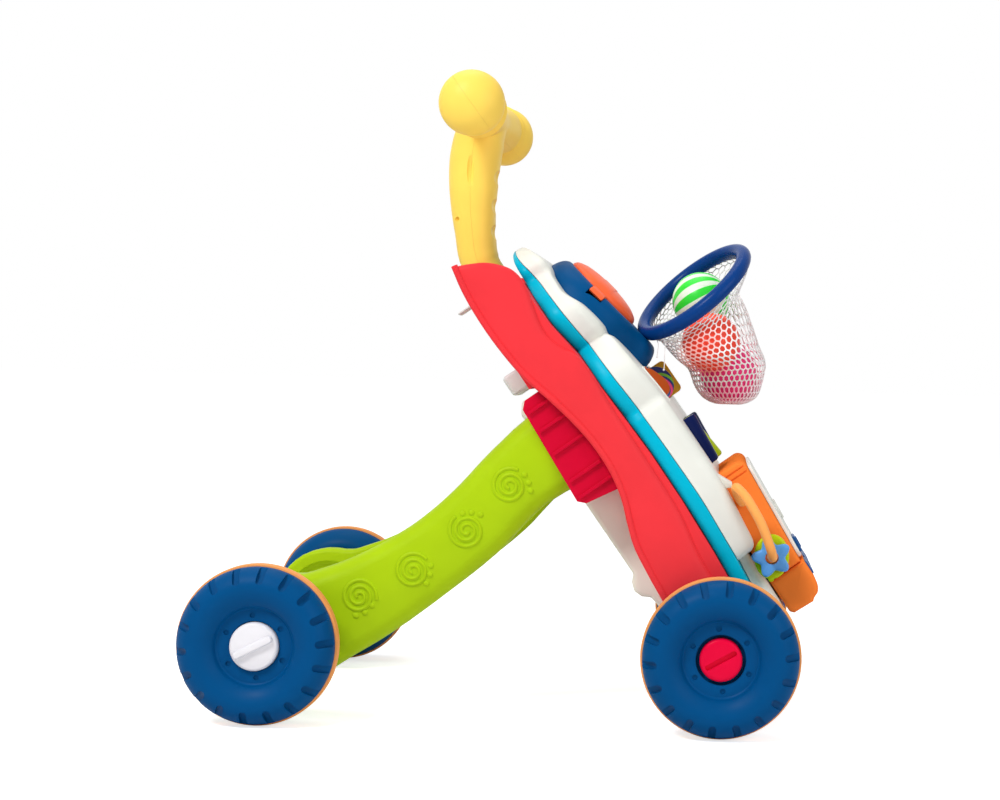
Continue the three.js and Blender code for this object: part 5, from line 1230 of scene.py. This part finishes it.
def thread_with_painted_ball_light():
    """White thread with painted reflected light: near the orange and pink balls, their colour is
    painted onto it.
    """
    nodes = Nodes("net_thread")
    spot = nodes.place()
    colour = nodes.mixed(nodes.noise(spot, 700), linear("#e9e4e4"), linear("#ffffff"))
    # painted reflected light: each ball's colour painted onto the thread within a few mm of that
    # ball
    for name, tint in (("orange", "#ff8f80"), ("pink", "#ff86ad")):
        away = nodes.distance(spot, ball_place(name))
        near = nodes.ranged(away, 0.9, 0, (BALL_RADIUS + 2) * mm, (BALL_RADIUS + 7) * mm)
        colour = nodes.mixed(near, colour, linear(tint))
    nodes.set("Base Color", colour)
    nodes.set("Roughness", 0.7)
    nodes.set("Specular IOR Level", 0.1)
    nodes.rough(nodes.noise(spot, THREAD_GRAIN), 0.3)
    return nodes.material


def net_surface():
    """Place on the bag by turn round it and by share of the way down."""
    spin = HOOP.to_3x3()
    forward, sideways = spin @ Vector((1, 0, 0)), spin @ Vector((0, 1, 0))
    down = spin @ Vector((0, 0, -1))
    rows = []
    for under, inside in NET_MOUTH:
        rim = HOOP_RADIUS - inside
        rows.append((down * under, forward, rim, sideways, rim))
    for ahead, left, fall_by, long_half, wide_half, lean in NET_ROWS:
        lay = Matrix.Rotation(-LEAN * lean, 3, "Y") @ Vector((1, 0, 0))
        across = sideways.lerp(Vector((0, 1, 0)), 1 - lean).normalized()
        centre = Vector((ahead * NET_REACH, left * NET_REACH, -fall_by * NET_DROP))
        rows.append((centre, lay, long_half * NET_REACH, across, wide_half * NET_REACH))
    centre, lay, long_half, across, wide_half = rows[-1]
    rows.append((centre, lay, long_half * 0.25, across, wide_half * 0.25))
    columns = np.array([[*c, *a, la, *b, lb] for c, a, la, b, lb in rows])
    count = len(rows)
    steps = [float(np.linalg.norm(after[:3] - before[:3]) + abs(after[6] - before[6]) * 0.7)
             for before, after in zip(columns, columns[1:])]
    span = np.array([0] + steps).cumsum()
    slope_rows = [slopes(list(span), list(columns[:, k])) for k in range(columns.shape[1])]

    def at(angle, share):
        place = share * span[-1]
        k = min(count - 2, max(i for i in range(count) if span[i] <= place + 1e-9))
        width = span[k + 1] - span[k]
        t = (place - span[k]) / width
        values = [eased(columns[k][c], s[k] * width, columns[k + 1][c], s[k + 1] * width, t)
                  for c, s in enumerate(slope_rows)]
        centre, lay, across = Vector(values[:3]), Vector(values[3:6]), Vector(values[7:10])
        return (centre + lay * values[6] * math.cos(angle)
                + across * values[10] * math.sin(angle)) * mm

    return at


def add_net():
    """A knitted bag: six-sided holes, wide open under the ring and drawn out long further down."""
    at = net_surface()
    around, down = NET_AROUND, NET_DOWN
    points, faces, widths = [], [], []

    def corner(column, level):
        share = min(1, max(0, level / down)) ** 1.05
        place = HOOP_CENTRE + at(turn * column / (2 * around), share)
        slack = 0.6 * mm * math.sin(column * 0.9 + level * 1.7) * min(1, level / 4)
        place += Vector((math.cos(column), math.sin(column * 1.3), 0)) * slack * 0.4
        for name in BALL_PLACES:
            off = place - ball_place(name)
            least = (BALL_RADIUS + NET_CLEAR) * mm
            if name != "green" and off.length < least:
                place = ball_place(name) + off.normalized() * least
        return place

    index = {}

    def vertex(column, level):
        key = (column % (2 * around), round(level, 3))
        if key not in index:
            index[key] = len(points)
            points.append(corner(*key))
        return index[key]

    tall = HOLE_SHARE
    for row in range(down - 1):
        for i in range(around):
            mid = 2 * i + (row % 2)
            around_hole = [(mid - 1, row + tall), (mid, row), (mid + 1, row + tall),
                           (mid + 1, row + 1), (mid, row + 1 + tall), (mid - 1, row + 1)]
            faces.append([vertex(*corner_of) for corner_of in around_hole])
            widths.append((NET_FINE + NET_WIDER * min(1, max(0, (row - 2) / 4))) * mm)
    mesh = bpy.data.meshes.new("ball_net_look")
    mesh.from_pydata([tuple(p) for p in points], [], faces)
    piece = bpy.data.objects.new("ball_net_look", mesh)
    bpy.context.scene.collection.objects.link(piece)
    groups = {}
    for face, width in enumerate(widths):
        groups.setdefault(round(width / mm, 2), []).append(face)
    skin_mesh = bmesh.new()
    skin_mesh.from_mesh(mesh)
    skin_mesh.faces.ensure_lookup_table()
    holes = []
    by_width = {width: [skin_mesh.faces[i] for i in members] for width, members in groups.items()}
    for width, members in by_width.items():
        bmesh.ops.inset_individual(skin_mesh, faces=members, thickness=width * mm,
                                   use_even_offset=True)
        holes += members
    bmesh.ops.delete(skin_mesh, geom=[f for f in holes if f.is_valid], context="FACES_ONLY")
    bmesh.ops.recalc_face_normals(skin_mesh, faces=skin_mesh.faces)
    skin_mesh.to_mesh(mesh)
    skin_mesh.free()
    apply(piece, "SOLIDIFY", thickness=THREAD_THICK, offset=0)
    dress(piece, thread_with_painted_ball_light(), "hoop", ["ball_net"], 60)


TAIL_ANGLES, TAIL_LENGTHS = (210, 221), (13, 25)
TAIL_RADIUS, TAIL_STEPS, KNOT_RADIUS = 0.36, 16, 0.75


def add_tails():
    spin = HOOP.to_3x3()
    for i, (angle, length) in enumerate(zip(TAIL_ANGLES, TAIL_LENGTHS)):
        way = Vector((math.cos(angle * degree), math.sin(angle * degree), 0))
        start = HOOP_CENTRE + spin @ (way * HOOP_RADIUS * mm)
        start.z -= (HOOP_TUBE + 0.5) * mm
        path = []
        for k in range(TAIL_STEPS + 1):
            share = k / TAIL_STEPS
            sway = 0.9 * math.sin(share * math.pi) + 0.3 * math.sin(share * 7 + i)
            aside = 0.3 * math.sin(share * 9)
            path.append(start + Vector((sway, aside, -length * share)) * mm)
        cord = rod(f"drawstring_tail_{i + 1}_look", path, TAIL_RADIUS * mm, 12)
        knot = ball("knot", KNOT_RADIUS * mm, path[-1], (1, 1, 1.2), 16)
        dress(merge(cord, knot), "thread", "hoop", [f"drawstring_tail_{i + 1}"], 60)


add_hoop_ring()
add_balls()
add_net()
add_tails()


# ---------- tiles and rollers ----------

PIN_OUT, THIN_PIN = 1.6, 2
LEAF_DENT, VEIN_RADIUS, VEIN_STEP = 0.1, 0.7, 2.2
DISC_ARCS = ((4, 6.2, "#f4f4ee"), (8.2, 10.4, "#e2447c"), (12.4, 14.6, "#7fbf3a"))
ROLLER_SIDE = [(0, -20.5), (7.6, -20.5), (8.9, -20), (9.5, -18.8), (12.9, 17.6), (12.9, 18.6),
               (12.3, 20), (11, 20.5), (0, 20.5)]


def window_pin(name, length):
    """A thin pin up the panel, in the body frame."""
    half = length + PIN_OUT
    pin = bar(name, THIN_PIN * mm, -half * mm, half * mm, steps=24)
    return settle(pin, Matrix.Rotation(-turn / 4, 4, "X"))


def in_window(piece, row, angle, u, v):
    place = Matrix.Translation(Vector((u, row * TILE_PITCH, v)) * mm)
    return settle(piece, BODY @ place @ Matrix.Rotation(angle, 4, "Z"))


def leaf_outline():
    points = []
    for angle in (turn * i / 96 for i in range(96)):
        radius = TILE_HALF * (1 - LEAF_DENT * (1 - math.cos(3 * angle)))
        points.append((radius * math.cos(angle + turn / 4), radius * math.sin(angle + turn / 4)))
    return in_mm(points)


def round_outline(radius, count=96):
    angles = [turn * i / count for i in range(count)]
    return in_mm([(radius * math.cos(angle), radius * math.sin(angle)) for angle in angles])


def disc_finish():
    """Navy disc with nested arcs in white, pink and green."""
    nodes = Nodes("tile_disc")
    spot = nodes.place()
    middle = BODY @ (Vector((TILE_U, 0, TILE_V - 6)) * mm)
    away = nodes.distance(spot, middle)
    colour = linear("#2f3d78")
    for low, high, tint in DISC_ARCS:
        above = nodes.maths("GREATER_THAN", away, low * mm)
        below = nodes.maths("LESS_THAN", away, high * mm)
        colour = nodes.mixed(nodes.maths("MULTIPLY", above, below), colour, linear(tint))
    nodes.set("Base Color", colour)
    nodes.set("Roughness", nodes.ranged(nodes.noise(spot, GLOSS_SCALE), 0.28, 0.4))
    nodes.set("Specular IOR Level", 0.3)
    return nodes.material


def add_tiles():
    square = in_mm(round_rectangle(0, 0, TILE_HALF, TILE_HALF, 4))
    kinds = (("leaf", leaf_outline(), -1, 54, "brown"),
             ("disc", round_outline(TILE_HALF), 0, 28, disc_finish()),
             ("square", square, 1, 2, "gold"))
    for kind, outline, row, angle, finish in kinds:
        half = TILE_THICK / 2 * mm
        tile = slab(f"{kind}_tile_look", outline, -half, half, 0.9 * mm, 0.9 * mm, 3)
        extras = [window_pin("pin", TILE_HALF)]
        if kind == "leaf":
            for way in (-1, 1):
                vein = [Vector((0, -10 + i * VEIN_STEP, way * TILE_THICK / 2)) * mm
                        for i in range(10)]
                extras.append(rod("vein", vein, VEIN_RADIUS * mm, 8))
        settle(tile, TO_RIGHT)
        for extra in extras[1:]:
            settle(extra, TO_RIGHT)
        tile = merge(tile, *extras)
        in_window(tile, row, angle * degree, TILE_U, TILE_V)
        dress(tile, finish, f"{kind}_tile", [f"{kind}_tile"])
    for name, row, way, finish in (("near", -1, 1, "ink"), ("middle", 0, -1, "olive"),
                                   ("far", 1, 1, "ink")):
        drum = turned(f"roller_{name}_look", in_mm(ROLLER_SIDE), 72)
        settle(drum, Matrix.Rotation(-way * turn / 4, 4, "X"))
        drum = merge(drum, window_pin("pin", ROLLER_HALF))
        in_window(drum, row, 0, ROLLER_U, ROLLER_V)
        dress(drum, finish, f"{name}_roller", [f"roller_{name}"])


# ---------- music unit ----------

UNIT_HALF, UNIT_EDGE = 78, 3.6 * mm
BOX_GROOVES = (102.9, 98.5)
SLIDER_Y, SLIDER_UP = -43, 11
SLOT = (21.5, 7, 2, -7.5, 10, 0)  # half sizes, corner, back, front and edge for face_plate
END_SIDE = [(0, 1), (0, 0.12), (0.08, 0.03), (0.63, 0), (0.7, 0.06), (0.84, 0.12), (0.95, 0.28),
            (0.99, 0.5), (1, 0.75), (1, 1)]
KEY_FACE, KEY_PITCH, KEY_UP = 88.4, 46, 7.5
RAIL_U, RAIL_LOW, RAIL_HIGH, RAIL_REACH, RAIL_RADIUS = 75, 35, 94, 40, 3.6
RAIL_PATH = [(1, 0.78, 0.28), (1.015, 0.93, 0.6), (1.045, 1, 0.83), (1.07, 0.83, 0.97),
             (1.065, 0.65, 1.02), (1.05, 0.46, 1.04), (1.015, 0.26, 1.02), (0.975, 0.08, 0.97),
             (0.95, 0, 0.84), (0.945, 0, 0.7)]
RAIL_HOLE, BEAD_HOLE = 3.9, 5.1
OVAL_HALF_WIDE, OVAL_HALF_TALL, NUB_DOWN = 13.4, 17.2, 16.8


def face_plate(name, half_y, half_z, corner, back, front, edge):
    outline = in_mm(round_rectangle(0, 0, half_y, half_z, corner))
    return settle(slab(name, outline, back * mm, front * mm, 0, edge * mm, 3), TO_FRONT)


def across_unit(name, outline):
    """A block of the unit's full width, its ends rounded, in the body frame."""
    return settle(slab(name, outline, -UNIT_HALF * mm, UNIT_HALF * mm, UNIT_EDGE, UNIT_EDGE, 5),
                  TO_RIGHT)


def on_slope(y, up):
    """A place on the front plate's slope, y to the left and up the slope in mm."""
    return SLOPE @ Matrix.Translation(Vector((0, y, up)) * mm)


def rounded_box():
    """The music box with two grooves in each end, the holes for the rail and a side plug."""
    arc = [(86.4 + 7 * math.cos(a * degree), 101 + 7 * math.sin(a * degree))
           for a in range(-2, 91, 8)]
    box = across_unit("music_box_look",
                      in_mm([(58, 16.7), (86.14, 16.7), (92.9, 97)] + arc + [(58, 108)]))
    cutters = []
    for v in BOX_GROOVES:
        outline = in_mm([(55, v - 0.7), (97, v - 0.7), (97, v + 0.7), (55, v + 0.7)])
        for way in (-1, 1):
            low, high = sorted((way * (UNIT_HALF - 1), way * (UNIT_HALF + 3)))
            cutters.append(settle(slab("groove", outline, low * mm, high * mm), TO_RIGHT))
    slot = settle(face_plate("slot", *SLOT), BODY.inverted() @ on_slope(SLIDER_Y, SLIDER_UP))
    slot_copy = copied(slot, "slot_copy")
    cutters.append(slot)
    for u, v, _ in (RAIL_PATH[0], RAIL_PATH[-1]):
        hole = bar("rail_hole", RAIL_HOLE * mm, (UNIT_HALF - 5.3) * mm, (UNIT_HALF + 4) * mm,
                   steps=32)
        place = Vector((u * RAIL_U, 0, RAIL_LOW + v * (RAIL_HIGH - RAIL_LOW)))
        cutters.append(settle(hole, Matrix.Translation(place * mm)))
    carve(box, cutters)
    plug = bar("side_plug", 3 * mm, (UNIT_HALF - 1) * mm, (UNIT_HALF + 0.8) * mm, 0.6 * mm, 32)
    settle(plug, Matrix.Translation(Vector((66.5, 0, 88)) * mm))
    return settle(merge(box, plug), BODY), slot_copy


def add_unit():
    box, slot = rounded_box()
    dress(box, "orange", "walker", ["music_box"])

    fascia = face_plate("music_fascia_look", 69, 41, 8, 0.3, 3, 1.1)
    settle(fascia, Matrix.Translation((0, 0, 43 * mm)))
    boss = settle(bar("boss", 9 * mm, 0.5 * mm, 5 * mm, 1.2 * mm, 64), STANDING)
    settle(boss, Matrix.Translation((0, 0, 38 * mm)))
    carve(fascia, [boss], "UNION")
    settle(fascia, SLOPE)
    carve(fascia, [settle(slot, BODY)])
    dress(fascia, "white", "walker", ["music_fascia"])

    slider = face_plate("mode_slider_look", 15, 6.5, 2, -7, 5.2, 1.1)
    bars = [face_plate("grip", 1.1, 4.4, 1, 5, 5.9, 0.5) for _ in range(3)]
    for grip, shift in zip(bars, (-4, 0, 4)):
        settle(grip, Matrix.Translation((0, shift * mm, 0)))
    slider = settle(merge(slider, *bars), on_slope(SLIDER_Y, SLIDER_UP))
    dress(slider, "key", "slider", ["mode_slider"])

    outline = [Vector((57.2 + ahead * 31.2, -14.5 + up * 30.9)) * mm for ahead, up in END_SIDE]
    end = across_unit("end_block_look", soft_outline(outline, 4, 40))
    wells = []
    for i in (-1, 0, 1):
        well = face_plate("well", 18.5, 6, 2, KEY_FACE - 9.5, 93, 0)
        wells.append(settle(well, Matrix.Translation(Vector((0, i * KEY_PITCH, KEY_UP)) * mm)))
        key = face_plate(f"melody_key_{i + 2}_look", 18, 5.5, 2, -7, 1.2, 0.7)
        settle(key, BODY @ Matrix.Translation(Vector((KEY_FACE, i * KEY_PITCH, KEY_UP)) * mm))
        dress(key, "key", f"key_{i + 2}", [f"melody_key_{i + 2}"])
    carve(end, wells)
    settle(end, BODY)
    dress(end, "orange", "walker", ["end_block"])


# ---------- bead rail ----------

def add_rail():
    path = [Vector((u * RAIL_U, -UNIT_HALF - out * RAIL_REACH,
                    RAIL_LOW + v * (RAIL_HIGH - RAIL_LOW)))
            for u, v, out in RAIL_PATH]
    first, last = path[0], path[-1]
    inside, outside = -UNIT_HALF + 5, -UNIT_HALF - 3.6
    lead = [Vector((first.x, y, first.z)) for y in (inside, outside)]
    trail = [Vector((last.x, y, last.z)) for y in (outside, inside)]
    places = [p * mm for p in smooth(lead + path + trail, 8, corner=180)]
    rail = settle(rod("bead_rail_look", places, RAIL_RADIUS * mm, 24), BODY)
    dress(rail, "rail", "walker", ["bead_rail"], 50)

    bottom = Vector((RAIL_U * RAIL_PATH[-1][0], 0, RAIL_LOW))
    hang = Vector((-math.sin(LEAN), 0, -math.cos(LEAN)))
    middle = bottom + hang * (BEAD_HOLE - RAIL_RADIUS - 0.3)
    star = [Vector((math.cos(angle), math.sin(angle))) * (12.9 + 2.7 * math.cos(5 * angle)) * mm
            for angle in (turn * i / 120 for i in range(120))]
    spin = Matrix.Rotation(-LEAN, 2)
    oval = [Vector((math.cos(angle) * OVAL_HALF_WIDE, math.sin(angle) * OVAL_HALF_TALL)) * mm
            for angle in (turn * i / 96 for i in range(96))]
    oval = [spin @ p for p in oval]
    beads = (("star_bead", star, "star"), ("oval_bead", oval, "bead"))
    for i, (name, outline, finish) in enumerate(beads):
        piece = puffed(name + LOOK, outline, 3 * mm, 1.8 * mm, 0.7 * mm, 6 * mm, 2.5 * mm)
        settle(piece, TO_RIGHT)
        if name == "oval_bead":
            nub = bar("nub", 2.4 * mm, -2 * mm, 2 * mm, 0.6 * mm, 32)
            settle(nub, Matrix.Translation(hang * NUB_DOWN * mm))
            carve(piece, [nub], "UNION")
        carve(piece, [bar("hole", BEAD_HOLE * mm, -10 * mm, 10 * mm, steps=48)])
        reach = UNIT_HALF + RAIL_REACH * 0.5 - i * 6.5
        settle(piece, BODY @ Matrix.Translation(Vector((middle.x, -reach, middle.z)) * mm))
        dress(piece, finish, name, [name], 50)


add_tiles()
add_unit()
add_rail()


# ---------- CAD pieces that are shown as they are ----------

for node in ("front_axle", "rear_axle"):
    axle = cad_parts[node]
    axle.data.materials.clear()
    axle.data.materials.append(finishes["steel"])


# ---------- floor, light and camera ----------

FLOOR_GLOW, FLOOR_SIZE = 0.66, 40
WORLD_LIGHT = 0.38
LENS, SENSOR, SHIFT_X, SHIFT_Y = 64.94, 36, -0.221, -0.034
CAMERA_PLACE, CAMERA_ROLL = (0.15565, -1.472, 0.2724), 1.71 * degree


def floor_finish():
    """White to the camera, with the object's shadow kept."""
    nodes = Nodes("studio_floor")
    clouds = nodes.noise(nodes.place(), 3)
    nodes.set("Base Color", nodes.mixed(clouds, (0.9, 0.9, 0.9, 1), (0.92, 0.92, 0.92, 1)))
    nodes.set("Roughness", 0.9)
    nodes.set("Specular IOR Level", 0.0)
    glow = nodes.add("ShaderNodeEmission", {"Color": (1, 1, 1, 1), "Strength": FLOOR_GLOW})
    total = nodes.add("ShaderNodeAddShader", {0: nodes.shader.outputs[0], 1: glow.outputs[0]})
    path = nodes.add("ShaderNodeLightPath").outputs["Is Camera Ray"]
    seen = nodes.add("ShaderNodeMixShader",
                     {0: path, 1: nodes.shader.outputs[0], 2: total.outputs[0]})
    output = nodes.tree.nodes["Material Output"]
    nodes.tree.links.new(seen.outputs[0], output.inputs["Surface"])
    return nodes.material


clear()
bpy.ops.mesh.primitive_plane_add(size=FLOOR_SIZE, location=(0, 0, 0))
floor = bpy.context.object
floor.name = "studio_floor"
floor.data.materials.append(floor_finish())


def world_light():
    """Even soft light on the object, and white where the camera or a reflection sees past it."""
    world = bpy.data.worlds.new("studio")
    world.use_nodes = True
    bpy.context.scene.world = world
    tree = world.node_tree
    soft = tree.nodes["Background"]
    soft.inputs["Color"].default_value = (1, 1, 1, 1)
    soft.inputs["Strength"].default_value = WORLD_LIGHT
    white = tree.nodes.new("ShaderNodeBackground")
    white.inputs["Color"].default_value = (1, 1, 1, 1)
    white.inputs["Strength"].default_value = 1.0
    path = tree.nodes.new("ShaderNodeLightPath")
    either = path.outputs["Is Camera Ray"]
    for ray in ("Is Glossy Ray", "Is Transmission Ray"):
        node = tree.nodes.new("ShaderNodeMath")
        node.operation = "MAXIMUM"
        tree.links.new(either, node.inputs[0])
        tree.links.new(path.outputs[ray], node.inputs[1])
        either = node.outputs[0]
    mixed = tree.nodes.new("ShaderNodeMixShader")
    tree.links.new(either, mixed.inputs[0])
    tree.links.new(soft.outputs[0], mixed.inputs[1])
    tree.links.new(white.outputs[0], mixed.inputs[2])
    tree.links.new(mixed.outputs[0], tree.nodes["World Output"].inputs["Surface"])


world_light()


def lamp(name, place, aim, size, power):
    clear()
    bpy.ops.object.light_add(type="AREA", location=place)
    light = bpy.context.object
    light.name = name
    light.data.shape = "DISK"
    light.data.size = size
    light.data.energy = power
    light.rotation_euler = (Vector(aim) - Vector(place)).to_track_quat("-Z", "Y").to_euler()


MIDDLE = (0, 0, 0.22)
lamp("key_light", (-0.8, -1.2, 1.6), MIDDLE, 0.6, 25)
lamp("fill_light", (1.3, -1.1, 0.8), MIDDLE, 1.2, 8)
lamp("top_light", (-0.2, 0.3, 1.9), MIDDLE, 1.2, 8)

camera_data = bpy.data.cameras.new("camera")
camera = bpy.data.objects.new("camera", camera_data)
bpy.context.scene.collection.objects.link(camera)
camera_data.lens, camera_data.sensor_width = LENS, SENSOR
camera_data.shift_x, camera_data.shift_y = SHIFT_X, SHIFT_Y
camera.matrix_world = (Matrix.Translation(CAMERA_PLACE) @ Matrix.Rotation(turn / 4, 4, "X")
                       @ Matrix.Rotation(CAMERA_ROLL, 4, "Z"))
bpy.context.scene.camera = camera
bpy.context.scene.view_settings.view_transform = "Standard"
